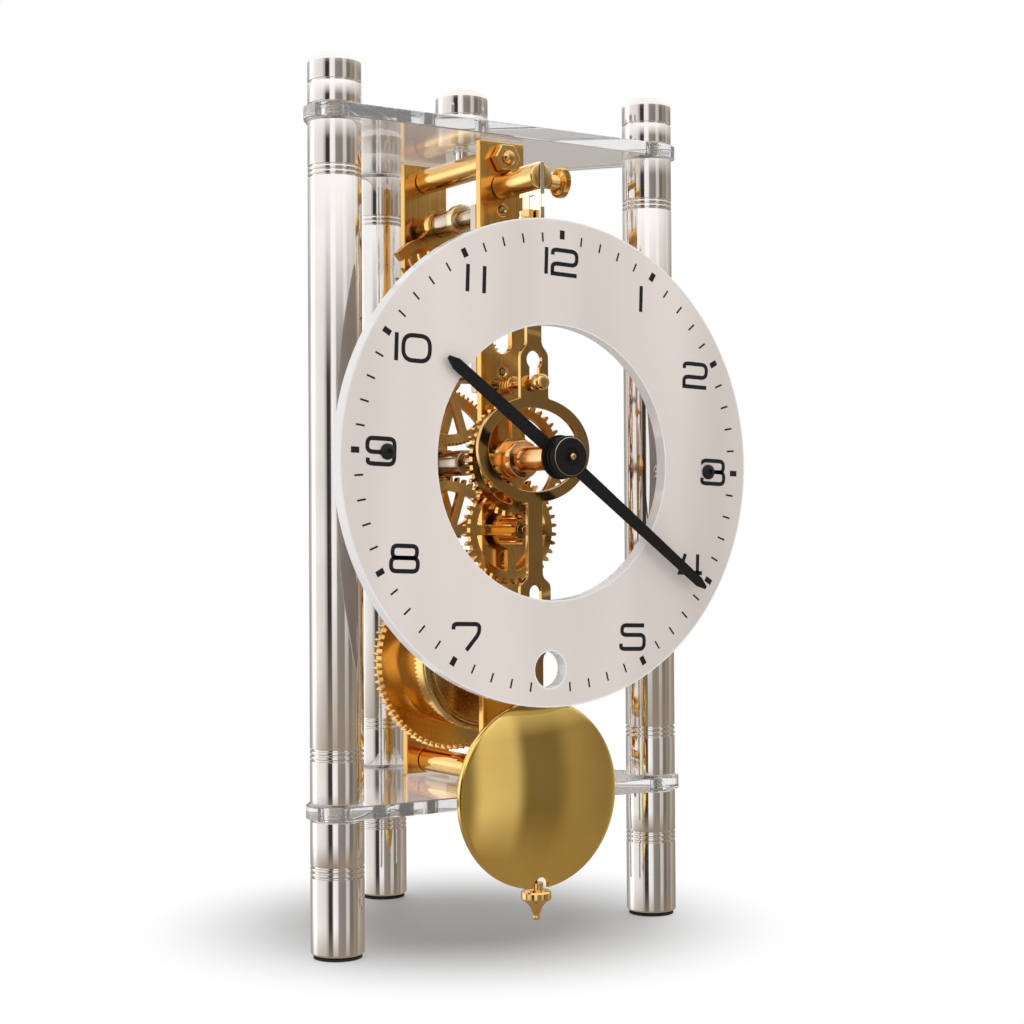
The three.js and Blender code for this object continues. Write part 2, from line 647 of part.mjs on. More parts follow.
add('third_wheel', trainWheel(TEETH.third, TEETH.escapePinion, THIRD_DISTANCE, THIRD_WHEEL_Y,
  WHEEL_THICKNESS, 3.6, 2.6, 5), BRASS, [0, 0, THIRD_Z]);
add('third_arbor', pinionArbor(
  trainPinion(TEETH.thirdPinion, TEETH.centre, CENTRE_DISTANCE), 28.4, 31.8,
), STEEL, [0, 0, THIRD_Z]);

// Escape wheel with slim teeth that lean forward.
function escapeWheel() {
  const step = TURN / TEETH.escape;
  const tip = (ANCHOR_Z - ESCAPE_Z) / Math.SQRT2;
  const root = tip - 2.2;
  const outline = [];
  for (let i = 0; i < TEETH.escape; i += 1) {
    const a = UP + i * step;
    outline.push(polar(root, a - 0.3 * step), polar(tip, a + 0.1 * step), polar(root, a + 0.3 * step));
  }
  return wheel(outline, 0.8 + GAP, ESCAPE_WHEEL_Y, 1, crossings(5, 3, tip - 4.4, 1.6));
}

add('escape_wheel', escapeWheel(), BRASS, [0, 0, ESCAPE_Z]);
add('escape_arbor', pinionArbor(
  trainPinion(TEETH.escapePinion, TEETH.third, THIRD_DISTANCE), 22, 25.4, 0.8,
), STEEL, [0, 0, ESCAPE_Z]);

// ---- Centre arbor, motion work and hands -----------------------------------------------------

const HAND_NUT_Y = [-28.9, -27.4];
const CENTRE_WIRE_RADIUS = 0.75;

// Carries the centre pinion and wheel, a plain steel drum, and the long front wire for the hands.
function centreArbor() {
  const drumFront = 14.3;
  const pinionFront = 24;
  const arbor = turned([
    [0, FRONT_END_Y], [0.45, FRONT_END_Y], [CENTRE_WIRE_RADIUS, FRONT_END_Y + 0.4],
    [CENTRE_WIRE_RADIUS, -2.4], [CENTRE_BEARING_RADIUS, -2.2],
    [CENTRE_BEARING_RADIUS, FRONT_PLATE[1] + GAP], [1.5, FRONT_PLATE[1] + GAP], [1.5, drumFront],
    [3.1, drumFront], [3.1, pinionFront], [1.5, pinionFront], [1.5, BACK_PLATE[0] - GAP],
    [CENTRE_BEARING_RADIUS, BACK_PLATE[0] - GAP], [CENTRE_BEARING_RADIUS, BACK_PIVOT_Y],
    [0, BACK_PIVOT_Y],
  ], 14);
  const leaves = trainPinion(TEETH.centrePinion, TEETH.intermediate, INTERMEDIATE_DISTANCE);
  return joined(arbor, slab(shapeOf(leaves), pinionFront - 0.2, 28.6));
}

function centreWheel() {
  const radius = pitchRadius(TEETH.centre, TEETH.thirdPinion, CENTRE_DISTANCE);
  return wheel(wheelTeeth(TEETH.centre, radius, UP), 1.5 + GAP, CENTRE_WHEEL_Y, WHEEL_THICKNESS,
    crossings(5, 4.4, radius - 3, 2.2));
}

const MOTION_DISTANCE = CENTRE_Z - STUD_Z;
const MINUTE_WHEEL_Y = -4.7;
const HOUR_WHEEL_Y = -7.1;
const CANNON_TUBE_RADIUS = 1.5;
const HOUR_PIPE_RADIUS = 2.8;
const HOUR_PIPE_BORE = 1.9;

// The cannon pinion's tube reaches forward to the minute hand.
function cannonPinion() {
  const pitch = pitchRadius(TEETH.cannon, TEETH.minute, MOTION_DISTANCE);
  const leaves = pinionLeaves(TEETH.cannon, pitch, DOWN);
  const bore = CENTRE_WIRE_RADIUS + 0.2;
  const pinion = slab(shapeOf(leaves, [circle(0, 0, bore, 12)]), -5, -2.8);
  const tube = turned([
    [bore, -27.2], [CANNON_TUBE_RADIUS, -27.2], [CANNON_TUBE_RADIUS, -4.6], [bore, -4.6], [bore, -27.2],
  ], 12);
  return joined(pinion, tube);
}

function minuteWheel() {
  const radius = pitchRadius(TEETH.minute, TEETH.cannon, MOTION_DISTANCE);
  const phase = gapFacing(UP, TEETH.minute);
  const bore = STUD_RADIUS + GAP;
  const disc = wheel(wheelTeeth(TEETH.minute, radius, phase), bore, MINUTE_WHEEL_Y, 1.4,
    crossings(4, 4.6, radius - 2.6, 2.4));
  const pinionPitch = pitchRadius(TEETH.minutePinion, TEETH.hour, MOTION_DISTANCE);
  const leaves = pinionLeaves(TEETH.minutePinion, pinionPitch, UP);
  return joined(disc, slab(shapeOf(leaves, [circle(0, 0, bore, 12)]), -9.6, MINUTE_WHEEL_Y + 0.4));
}

function hourWheel() {
  const radius = pitchRadius(TEETH.hour, TEETH.minutePinion, MOTION_DISTANCE);
  const outline = wheelTeeth(TEETH.hour, radius, gapFacing(DOWN, TEETH.hour));
  const disc = wheel(outline, HOUR_PIPE_BORE, HOUR_WHEEL_Y, 1.4, crossings(4, 5.4, radius - 2.6, 2.6));
  const pipe = turned([
    [HOUR_PIPE_BORE, -25.5], [HOUR_PIPE_RADIUS, -25.5], [HOUR_PIPE_RADIUS, -9.6], [4.4, -9.2],
    [4.4, HOUR_WHEEL_Y + 0.3], [HOUR_PIPE_BORE, HOUR_WHEEL_Y + 0.3], [HOUR_PIPE_BORE, -25.5],
  ], 16);
  return joined(disc, pipe);
}

// A batten hand with a round boss, drawn pointing to 12 and turned clockwise by `angle`.
function hand(length, rootWidth, tipWidth, bossRadius, holeRadius, y, angle) {
  const start = Math.acos(rootWidth / 2 / bossRadius);
  const shoulder = length - 2.4;
  const outline = [
    ...arc(0, 0, bossRadius, Math.PI - start, TURN + start, 20),
    ...points([[tipWidth / 2, shoulder], [0.35, length], [-0.35, length], [-tipWidth / 2, shoulder]]),
  ];
  const shape = shapeOf(outline, [circle(0, 0, holeRadius, 12)]);
  return slab(shape, y, y + 0.6).rotateY(angle);
}

function handNut() {
  const [front, back] = HAND_NUT_Y;
  const bore = CENTRE_WIRE_RADIUS + 0.2;
  return turned([
    [bore, front], [4, front], [4.7, front + 0.5], [4.7, back], [bore, back], [bore, front],
  ], 16);
}

add('centre_arbor', centreArbor(), STEEL, [0, 0, CENTRE_Z]);
add('centre_wheel', centreWheel(), BRASS, [0, 0, CENTRE_Z]);
add('cannon_pinion', cannonPinion(), STEEL, [0, 0, CENTRE_Z]);
add('minute_wheel', minuteWheel(), BRASS, [0, 0, STUD_Z]);
add('hour_wheel', hourWheel(), COPPER, [0, 0, CENTRE_Z]);
add('hour_hand', hand(HOUR_HAND_LENGTH, 3.1, 2.7, 5, HOUR_PIPE_RADIUS + GAP, HOUR_HAND_Y,
  HOUR_HAND_ANGLE), BLACK, [0, 0, CENTRE_Z]);
add('minute_hand', hand(MINUTE_HAND_LENGTH, 3.1, 2.3, 4.6, CANNON_TUBE_RADIUS + GAP, MINUTE_HAND_Y,
  MINUTE_HAND_ANGLE), BLACK, [0, 0, CENTRE_Z]);
add('hand_nut', handNut(), BLACK, [0, 0, CENTRE_Z]);

// ---- Escapement: anchor, its arbor and the crutch --------------------------------------------

const COLLET_RADIUS = 3;

// Two curved arms whose pallets end just outside the escape wheel's tooth tips.
function anchor() {
  const tip = (ANCHOR_Z - ESCAPE_Z) / Math.SQRT2;
  const drop = -(ANCHOR_Z - ESCAPE_Z);
  const reach = Math.PI / 4;
  const clear = 1.1;
  const outline = [
    ...arc(0, drop, tip + clear, UP + reach, UP - reach, 12),
    ...points([[tip * Math.SQRT1_2 + 2.4, drop / 2 + 2.6]]),
    ...arc(0, drop, tip + clear + 2.4, UP - reach * 0.75, UP - 0.32, 4),
    ...arc(0, 0, COLLET_RADIUS + 0.9, -0.35, Math.PI + 0.35, 12),
    ...arc(0, drop, tip + clear + 2.4, UP + 0.32, UP + reach * 0.75, 4),
    ...points([[-tip * Math.SQRT1_2 - 2.4, drop / 2 + 2.6]]),
  ];
  const shape = shapeOf(outline, [circle(0, 0, COLLET_RADIUS + GAP, 16)]);
  return slab(shape, 25.9, 27.9);
}

// Stepped steel arbor: a thick collet at the back, a pale friction ring, and a thin front end.
function anchorArbor() {
  return turned([
    [0, FRONT_PIVOT_Y], [PIVOT_RADIUS, FRONT_PIVOT_Y], [PIVOT_RADIUS, FRONT_PLATE[1] + GAP],
    [1.2, FRONT_PLATE[1] + GAP], [1.2, 8.5], [2.3, 8.5], [2.3, 15.5], [3.7, 15.5], [3.7, 18.2],
    [COLLET_RADIUS, 18.2], [COLLET_RADIUS, 30.6], [1.2, 30.6], [1.2, BACK_PLATE[0] - GAP],
    [PIVOT_RADIUS, BACK_PLATE[0] - GAP], [PIVOT_RADIUS, BACK_PIVOT_Y], [0, BACK_PIVOT_Y],
  ], 12);
}

const CRUTCH_Y = [2.2, 4.6];
const CRUTCH_PIN_RADIUS = 0.9;
const CRUTCH_PIN_FRONT_Y = -18.4;
const CRUTCH_PIN_HEAD_RADIUS = 1.95; // just passes through the rod's keyhole
const CRUTCH_BAR_X = [-5.1, -3.9];

// Hangs behind the front plate, cranked round the arbors below it; its pin reaches forward through
// the plate to the pendulum.
function crutch() {
  const drop = CRUTCH_PIN_Z - ANCHOR_Z;
  const [outerX, innerX] = CRUTCH_BAR_X;
  const bar = [
    ...arc(0, 0, 2.7, -2.6, 2.6, 14),
    ...points([[outerX, 1.39], [outerX, drop - 1.3]]),
    ...arc(0, drop, 1.6, -2.2, 2.2, 10),
    ...points([[innerX, drop + 1.3], [innerX, -1.39]]),
  ];
  const lever = slab(shapeOf(bar, [circle(0, 0, 1.2 + GAP, 12)]), ...CRUTCH_Y);
  const pin = turned([
    [0, CRUTCH_PIN_FRONT_Y], [1.3, CRUTCH_PIN_FRONT_Y], [CRUTCH_PIN_HEAD_RADIUS, CRUTCH_PIN_FRONT_Y + 0.6],
    [CRUTCH_PIN_HEAD_RADIUS, CRUTCH_PIN_FRONT_Y + 2.9], [CRUTCH_PIN_RADIUS, CRUTCH_PIN_FRONT_Y + 3.3],
    [CRUTCH_PIN_RADIUS, -6.4], [2.1, -6.4], [2.1, -2.4], [CRUTCH_PIN_RADIUS, -2.4],
    [CRUTCH_PIN_RADIUS, CRUTCH_Y[0] + 0.6], [0, CRUTCH_Y[0] + 0.6],
  ], 12).translate(0, 0, drop);
  return joined(lever, pin);
}

add('anchor', anchor(), BRASS, [0, 0, ANCHOR_Z]);
add('anchor_arbor', anchorArbor(), STEEL, [0, 0, ANCHOR_Z]);
add('crutch', crutch(), STEEL, [0, 0, ANCHOR_Z]);

// ---- Suspension and pendulum -----------------------------------------------------------------

const POST_Z = 174.5;
const POST_RADIUS = 3;
const POST_END_Y = -18;
const SPRING_Y = [-18.2, -9.4];
const CHEEK_HALF_THICKNESS = 0.55;
const THUMB_SCREW = { y: -15.5, z: 173.9, radius: 1.1 };
const UPPER_CHEEK = [170.6, 177.8];
const LOWER_CHEEK = [163.2, 167.6];
const HOOK_PIN_Z = 165.2;

// Post on the front plate, slit down its front end for the suspension spring.
function suspensionPost() {
  const post = rod(POST_RADIUS, POST_END_Y, FRONT_PLATE[0] - GAP, 20).translate(0, 0, POST_Z);
  const slit = CHEEK_HALF_THICKNESS + 0.2;
  const slot = box(-slit, slit, POST_END_Y - 1, SPRING_Y[1] + 0.6, POST_Z - 4, POST_Z + 4);
  const screwHole = rod(THUMB_SCREW.radius + GAP, -4, 4).rotateZ(Math.PI / 2)
    .translate(0, THUMB_SCREW.y, THUMB_SCREW.z);
  return cut(post, slot, screwHole);
}

// Knurled thumb screw, lying along X, that pinches the slit.
function thumbScrew() {
  const knob = turned([
    [0, -2.6], [THUMB_SCREW.radius, -2.6], [THUMB_SCREW.radius, 3.3], [1.7, 3.3], [1.7, 6.1],
    [3.4, 6.1], [3.45, 7.5], [0, 7.6],
  ], 16);
  return knob.rotateZ(-Math.PI / 2).translate(0, THUMB_SCREW.y, THUMB_SCREW.z);
}

// Upper cheek with two leaves that reach down to the lower cheek.
function suspensionSpring() {
  const [front, back] = SPRING_Y;
  const thin = 0.12;
  const cheek = box(-CHEEK_HALF_THICKNESS, CHEEK_HALF_THICKNESS, front, back, ...UPPER_CHEEK);
  const leafLow = LOWER_CHEEK[1] + GAP;
  const leaves = [[front + 0.6, front + 3.4], [back - 3.4, back - 0.6]].map(([y0, y1]) =>
    box(-thin, thin, y0, y1, leafLow, UPPER_CHEEK[0] + 1));
  const screwHole = rod(THUMB_SCREW.radius + GAP, -2, 2).rotateZ(Math.PI / 2)
    .translate(0, THUMB_SCREW.y, THUMB_SCREW.z);
  return cut(joined(cheek, ...leaves), screwHole);
}

// Lower cheek with the cross pin that the pendulum hooks on.
function suspensionBlock() {
  const [front, back] = SPRING_Y;
  const cheek = box(-CHEEK_HALF_THICKNESS, CHEEK_HALF_THICKNESS, front, back, ...LOWER_CHEEK);
  const pin = rod(0.6, -3.4, 3.4, 10).rotateZ(Math.PI / 2).translate(0, PENDULUM_Y, HOOK_PIN_Z);
  return joined(cheek, pin);
}

add('suspension_post', suspensionPost(), BRASS);
add('thumb_screw', thumbScrew(), BRASS);
add('suspension_spring', suspensionSpring(), STEEL);
add('suspension_block', suspensionBlock(), STEEL);

const STRIP_HALF_WIDTH = 2;
const KEYHOLE = {
  plateHalf: 3.8, plateTop: 136.6, eyeZ: 133, eyeRadius: 2.1, slotHalf: 1.35, slotLow: 126.2,
};
const RING = { outer: 15.3, inner: 12.5, outerSqueeze: 12.1 / 15.3, innerSqueeze: 9.6 / 12.5 };
const FORK = { half: 4.15, top: 83.5, slotHalf: 1.65, slotTop: 81.6, slotLow: 70, low: 66 };
const ROD_LOW_Z = 16.6;
const ROD_TOP_Z = 161.6;
const THREAD_LOW_Z = 10.6;
const THREAD_RADIUS = 0.55;
const NECK_RADIUS = 1.6; // the rating nut's neck, which fits the notch in the bob

// Flat pressed rod: keyhole for the crutch pin, oval ring round the hand tube, fork, then a strip.
function pendulumRod() {
  const w = STRIP_HALF_WIDTH;
  const k = KEYHOLE;
  const f = FORK;
  const side = Math.asin(w / RING.outer);
  const neck = Math.asin(k.plateHalf / RING.outer);
  const right = [
    ...points([[w, ROD_LOW_Z], [w, f.low], [f.half, f.low + 1.6], [f.half, f.top - 1.8], [w, f.top]]),
    ...arc(0, RING_Z, RING.outer, DOWN + side, UP - neck, 22, RING.outerSqueeze),
    ...points([[k.plateHalf, k.plateTop - 2.2], [w, k.plateTop], [w, ROD_TOP_Z]]),
  ];
  const left = right.map((p) => new THREE.Vector2(-p.x, p.y)).reverse();
  const eyeAngle = Math.asin(k.slotHalf / k.eyeRadius);
  const keyhole = [
    ...arc(0, k.eyeZ, k.eyeRadius, DOWN + eyeAngle, 1.5 * Math.PI - eyeAngle, 12),
    ...arc(0, k.slotLow + k.slotHalf, k.slotHalf, Math.PI, TURN, 6),
  ];
  const forkSlot = [
    ...arc(0, f.slotTop - f.slotHalf, f.slotHalf, 0, Math.PI, 6),
    ...points([[-f.slotHalf, f.slotLow], [f.slotHalf, f.slotLow]]),
  ];
  const ring = circle(0, RING_Z, RING.inner, 32, RING.innerSqueeze);
  const y = [PENDULUM_Y - ROD_THICKNESS / 2, PENDULUM_Y + ROD_THICKNESS / 2];
  const flat = slab(shapeOf([...right, ...left], [keyhole, ring, forkSlot]), ...y);
  const thread = upright([
    [0, THREAD_LOW_Z], [THREAD_RADIUS, THREAD_LOW_Z], [THREAD_RADIUS, ROD_LOW_Z + 1],
    [0, ROD_LOW_Z + 1],
  ], 10).translate(0, PENDULUM_Y, 0);
  return joined(flat, thread, ...pendulumHook());
}

// Two ears at the top of the rod, one each side of the lower cheek, notched over its cross pin.
function pendulumHook() {
  const inner = CHEEK_HALF_THICKNESS + GAP;
  const outer = STRIP_HALF_WIDTH;
  const half = ROD_THICKNESS / 2 + 1.2;
  const ear = (x0, x1) => {
    const plate = box(x0, x1, PENDULUM_Y - half, PENDULUM_Y + half, ROD_TOP_Z - 1.4, HOOK_PIN_Z + 2);
    const hole = rod(0.6 + GAP, -4, 4, 10).rotateZ(Math.PI / 2).translate(0, PENDULUM_Y, HOOK_PIN_Z);
    return cut(plate, hole);
  };
  return [ear(inner, outer), ear(-outer, -inner)];
}

// Lens-shaped bob, slotted for the rod and notched at the bottom for the rating nut's neck.
function pendulumBob() {
  const lens = turned([
    [0, -18.6], [8, -18.1], [15, -17], [BOB_RADIUS, -15.5], [BOB_RADIUS, -14.5], [12, -12.7],
    [0, -12.1],
  ], 40).translate(0, 0, BOB_Z);
  const w = STRIP_HALF_WIDTH + GAP;
  const t = ROD_THICKNESS / 2 + GAP;
  const slot = box(-w, w, PENDULUM_Y - t, PENDULUM_Y + t, 0, 70);
  const notch = rod(NECK_RADIUS + 0.7, -20, -10, 16).translate(0, 0, BOB_Z - BOB_RADIUS + 0.4);
  return cut(lens, slot, notch);
}

function ratingNut() {
  const bore = THREAD_RADIUS + GAP;
  const boreLow = THREAD_LOW_Z - 2.6;
  return upright([
    [0, 5.4], [0.8, 5.8], [1, 6.6], [0.7, 7.2], [1.5, 7.7], [2.6, 9.2], [3.5, 9.5], [3.5, 12.1],
    [NECK_RADIUS, 12.4], [NECK_RADIUS, 14], [bore, 14], [bore, boreLow], [0, boreLow],
  ], 14);
}

add('pendulum_rod', pendulumRod(), BRASS);
add('pendulum_bob', pendulumBob(), POLISHED_BRASS);
add('rating_nut', ratingNut(), POLISHED_BRASS, [0, PENDULUM_Y, 0]);

export default clock;
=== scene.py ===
"""Looks of the skeleton mantel clock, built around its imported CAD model.

Shapes are drawn in clock millimetres: x to the right, z up from the table, and y backwards from the
line through the two front columns. on_frame() turns a finished mesh into the frame's metres.
"""

import json
import math

import bmesh
import bpy
from mathutils import Matrix, Vector


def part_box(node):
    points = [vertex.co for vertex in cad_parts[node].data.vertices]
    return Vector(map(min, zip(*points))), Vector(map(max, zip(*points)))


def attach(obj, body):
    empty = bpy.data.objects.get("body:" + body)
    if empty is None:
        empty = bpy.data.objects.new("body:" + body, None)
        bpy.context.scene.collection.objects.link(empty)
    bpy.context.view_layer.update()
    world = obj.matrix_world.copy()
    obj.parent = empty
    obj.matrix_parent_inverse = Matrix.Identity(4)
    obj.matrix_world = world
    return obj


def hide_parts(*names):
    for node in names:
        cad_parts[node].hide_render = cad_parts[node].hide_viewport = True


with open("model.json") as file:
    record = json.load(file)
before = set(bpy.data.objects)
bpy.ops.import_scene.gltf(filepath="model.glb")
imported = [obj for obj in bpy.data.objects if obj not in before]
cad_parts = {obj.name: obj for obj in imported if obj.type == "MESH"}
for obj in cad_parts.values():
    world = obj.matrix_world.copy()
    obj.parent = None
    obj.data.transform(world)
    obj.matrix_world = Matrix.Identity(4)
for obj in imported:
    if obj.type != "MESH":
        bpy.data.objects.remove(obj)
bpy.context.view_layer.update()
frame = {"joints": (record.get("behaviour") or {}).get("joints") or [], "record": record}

# ---- The frame's own places ------------------------------------------------------------------

MM = 0.001
TURN = 2 * math.pi
UP = math.pi / 2
DOWN = -math.pi / 2

record = frame["record"]
BODY_OF = {node: body for body, nodes in record["behaviour"]["bodies"].items() for node in nodes}

FRONT_LINE = sum(corner.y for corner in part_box("column_tube_left")) / 2


def extent(node):
    """Lowest and highest corner of a CAD node in clock millimetres."""
    shift = Vector((0, FRONT_LINE, 0))
    return [(corner - shift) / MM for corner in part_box(node)]


def middle(node):
    low, high = extent(node)
    return (low + high) / 2


def span(node, axis="y"):
    return tuple(getattr(corner, axis) for corner in extent(node))


def half_width(node):
    low, high = span(node, "x")
    return (high - low) / 2


COLUMNS = {side: middle(f"column_tube_{side}") for side in ("left", "right", "back")}
COLUMN_RADIUS = half_width("column_tube_left")
BOTTOM_PLATE = span("bottom_plate", "z")
TOP_PLATE = span("top_plate", "z")
GAP = 0.3  # clearance between neighbouring pieces, as in the CAD

AXIS_Z = {joint["name"]: joint["pos_m"][2] / MM for joint in frame["joints"] if "pos_m" in joint}
BARREL_Z = AXIS_Z["barrel_turn"]
INTERMEDIATE_Z = AXIS_Z["intermediate_turn"]
CENTRE_Z = AXIS_Z["minute_turn"]
THIRD_Z = AXIS_Z["third_turn"]
ESCAPE_Z = AXIS_Z["escape_turn"]
ANCHOR_Z = AXIS_Z["anchor_swing"]
STUD_Z = AXIS_Z["minute_wheel_turn"]
DIAL_Z = middle("dial").z
BOB_Z = extent("pendulum_bob")[1].z - extent("pendulum_bob")[1].x
TOP_PILLAR_Z = middle("pillar_nut_top").z
BOTTOM_PILLAR_Z = middle("pillar_nut_bottom").z
MOVEMENT_Y = middle("movement_cap").y
PENDULUM_Y = middle("rating_nut").y
DIAL_TURN = math.atan2(middle("dial_screw_right").z - middle("dial_screw_left").z,
                       middle("dial_screw_right").x - middle("dial_screw_left").x)

# ---- Outlines --------------------------------------------------------------------------------


def polar(radius, angle):
    return (radius * math.cos(angle), radius * math.sin(angle))


def arc(x, z, radius, start, end, steps=24, squeeze=1.0):
    angles = [start + (end - start) * i / steps for i in range(steps + 1)]
    return [(x + radius * math.cos(a), z + squeeze * radius * math.sin(a)) for a in angles]


def circle(x, z, radius, steps=64, squeeze=1.0):
    return arc(x, z, radius, 0, TURN * (1 - 1 / steps), steps - 1, squeeze)


def moved(points, dx, dz):
    return [(x + dx, z + dz) for x, z in points]


def rounded(points, radius, closed=True, smallest=0.35, steps=4):
    """The outline with each corner sharper than `smallest` radians swapped for a short curve."""
    out = []
    count = len(points)
    for i, here in enumerate(points):
        before = points[i - 1]
        after = points[(i + 1) % count]
        if not closed and i in (0, count - 1):
            out.append(here)
            continue
        a = Vector(before) - Vector(here)
        b = Vector(after) - Vector(here)
        if a.length < 1e-6 or b.length < 1e-6 or math.pi - a.angle(b) < smallest:
            out.append(here)
            continue
        reach_a = min(radius, 0.45 * a.length)
        reach_b = min(radius, 0.45 * b.length)
        start = Vector(here) + a.normalized() * reach_a
        end = Vector(here) + b.normalized() * reach_b
        for k in range(steps + 1):
            t = k / steps
            p = start * (1 - t) ** 2 + Vector(here) * 2 * t * (1 - t) + end * t ** 2
            out.append((p.x, p.y))
    return out


# ---- Meshes ----------------------------------------------------------------------------------

SHARP = math.radians(20)


def on_frame(mesh):
    mesh.transform(Matrix.Translation((0, FRONT_LINE, 0)) @ Matrix.Scale(MM, 4))
    mesh.shade_smooth()
    mesh.set_sharp_from_angle(angle=SHARP)
    return mesh


def welded(mesh, distance=1e-4):
    work = bmesh.new()
    work.from_mesh(mesh)
    bmesh.ops.remove_doubles(work, verts=work.verts, dist=distance)
    bmesh.ops.recalc_face_normals(work, faces=work.faces)
    work.to_mesh(mesh)
    work.free()
    return mesh


def flat(outline, holes, front, back, bevel=0.12):
    """A flat piece seen from the front (x, z), filling y from front to back, with eased edges."""
    curve = bpy.data.curves.new("outline", "CURVE")
    curve.dimensions = "2D"
    curve.fill_mode = "BOTH"
    curve.extrude = (back - front) / 2 - bevel
    curve.bevel_depth = bevel
    curve.bevel_resolution = 1
    curve.offset = -bevel
    for loop in (outline, *holes):
        spline = curve.splines.new("POLY")
        spline.points.add(len(loop) - 1)
        for point, (x, z) in zip(spline.points, loop):
            point.co = (x, z, 0, 1)
        spline.use_cyclic_u = True
    holder = bpy.data.objects.new("outline", curve)
    mesh = bpy.data.meshes.new_from_object(holder)
    bpy.data.objects.remove(holder)
    bpy.data.curves.remove(curve)
    welded(mesh)
    mesh.transform(Matrix.Translation((0, (front + back) / 2, 0)) @ Matrix.Rotation(UP, 4, "X"))
    return mesh


def level(outline, holes, low, high, bevel=0.12):
    """The same in plan (x, y), filling z from low to high."""
    mesh = flat(outline, holes, low, high, bevel)
    mesh.transform(Matrix.Rotation(-UP, 4, "X"))
    mesh.transform(Matrix.Scale(-1, 4, (0, 0, 1)))
    mesh.flip_normals()
    return mesh


def lathe(profile, segments=64, ease=0.12, closed=False):
    """A turned piece about Z from (radius, height) pairs, from axis to axis or closed."""
    ring = rounded([tuple(p) for p in profile], ease, closed=closed, smallest=0.5, steps=2)
    verts, faces, rows = [], [], []
    for radius, height in ring:
        if radius < 1e-6:
            rows.append([len(verts)] * segments)
            verts.append((0, 0, height))
            continue
        rows.append([len(verts) + k for k in range(segments)])
        verts += [(*polar(radius, TURN * k / segments), height) for k in range(segments)]
    pairs = list(zip(rows, rows[1:]))
    if closed:
        pairs.append((rows[-1], rows[0]))
    for low, high in pairs:
        for k in range(segments):
            n = (k + 1) % segments
            corners = [low[k], low[n], high[n], high[k]]
            corners = [c for j, c in enumerate(corners) if c not in corners[:j]]
            if len(corners) > 2:
                faces.append(corners)
    mesh = bpy.data.meshes.new("turned")
    mesh.from_pydata(verts, [], faces)
    return welded(mesh, 1e-6)


def lying(mesh, axis="Y"):
    """A turned piece laid down: its height now runs along Y (backwards) or X (to the right)."""
    turn = Matrix.Rotation(-UP, 4, "X") if axis == "Y" else Matrix.Rotation(UP, 4, "Y")
    mesh.transform(turn)
    return mesh


def at(mesh, x=0.0, y=0.0, z=0.0, tilt=0.0):
    """Turn clockwise by `tilt` as seen from the front, then move."""
    mesh.transform(Matrix.Translation((x, y, z)) @ Matrix.Rotation(tilt, 4, "Y"))
    return mesh


def spun(profile, segments=64, ease=0.12, closed=False, x=0.0, z=0.0):
    """A turned piece lying along Y, its axis at (x, z)."""
    return at(lying(lathe(profile, segments, ease, closed)), x=x, z=z)


def together(*meshes):
    work = bmesh.new()
    for mesh in meshes:
        work.from_mesh(mesh)
    out = bpy.data.meshes.new("together")
    work.to_mesh(out)
    work.free()
    return out


def cut(mesh, tool):
    """What is left of a mesh when another is taken away from it."""
    body, cutter = (bpy.data.objects.new("cut", m) for m in (mesh, tool))
    for each in (body, cutter):
        bpy.context.scene.collection.objects.link(each)
    step = body.modifiers.new("cut", "BOOLEAN")
    step.object = cutter
    step.solver = "EXACT"
    left = bpy.data.meshes.new_from_object(body.evaluated_get(bpy.context.evaluated_depsgraph_get()))
    for each in (body, cutter):
        bpy.data.objects.remove(each)
    return left


def rectangle(x0, x1, z0, z1):
    return [(x0, z0), (x1, z0), (x1, z1), (x0, z1)]


def block(x0, x1, y0, y1, z0, z1, bevel=0.12):
    return flat(rectangle(x0, x1, z0, z1), [], y0, y1, bevel)


# ---- Materials -------------------------------------------------------------------------------


def feed(tree, node, inputs):
    """Give each named input its value, or link it when the value is another node's socket."""
    for socket, value in inputs.items():
        if isinstance(value, bpy.types.NodeSocket):
            tree.links.new(value, node.inputs[socket])
        else:
            node.inputs[socket].default_value = value


def put(tree, kind, inputs=None, **settings):
    """A new shader node with its settings and inputs."""
    node = tree.nodes.new(f"ShaderNode{kind}")
    for name, value in settings.items():
        setattr(node, name, value)
    feed(tree, node, inputs or {})
    return node


def new_material(name):
    material = bpy.data.materials.new(name)
    material.use_nodes = True
    return material, material.node_tree, material.node_tree.nodes["Principled BSDF"]


def grain(tree, scale, detail=3.0, stretch=(1, 1, 1)):
    """Noise in the piece's own coordinates, stretched per axis."""
    where = put(tree, "TexCoord").outputs["Object"]
    mapping = put(tree, "Mapping", {"Vector": where, "Scale": [scale * s for s in stretch]})
    return put(tree, "TexNoise", {"Vector": mapping.outputs["Vector"], "Scale": 1.0,
                                  "Detail": detail}).outputs["Fac"]


def spread(tree, value, low, high):
    """The noise's middle range mapped onto low..high."""
    return put(tree, "MapRange", {"Value": value, "From Min": 0.3, "From Max": 0.7, "To Min": low,
                                  "To Max": high}).outputs["Result"]


def blend_colours(tree, share, first, second):
    return put(tree, "Mix", {0: share, 6: first, 7: second}, data_type="RGBA").outputs[2]


def two_tone(tree, value, light, deep):
    return blend_colours(tree, spread(tree, value, 0, 1), (*light, 1), (*deep, 1))


def bumped(tree, height, strength, distance):
    return put(tree, "Bump", {"Height": height, "Strength": strength,
                              "Distance": distance}).outputs["Normal"]


def metal(name, light, deep, rough, brush, strength=0.05):
    """Metal with brush lines along one axis and slow changes of tone."""
    material, tree, shader = new_material(name)
    lines = grain(tree, 1, 4, brush)
    feed(tree, shader, {
        "Metallic": 1.0, "Base Color": two_tone(tree, grain(tree, 60), light, deep),
        "Roughness": spread(tree, lines, *rough), "Normal": bumped(tree, lines, strength, 0.00005)})
    return material


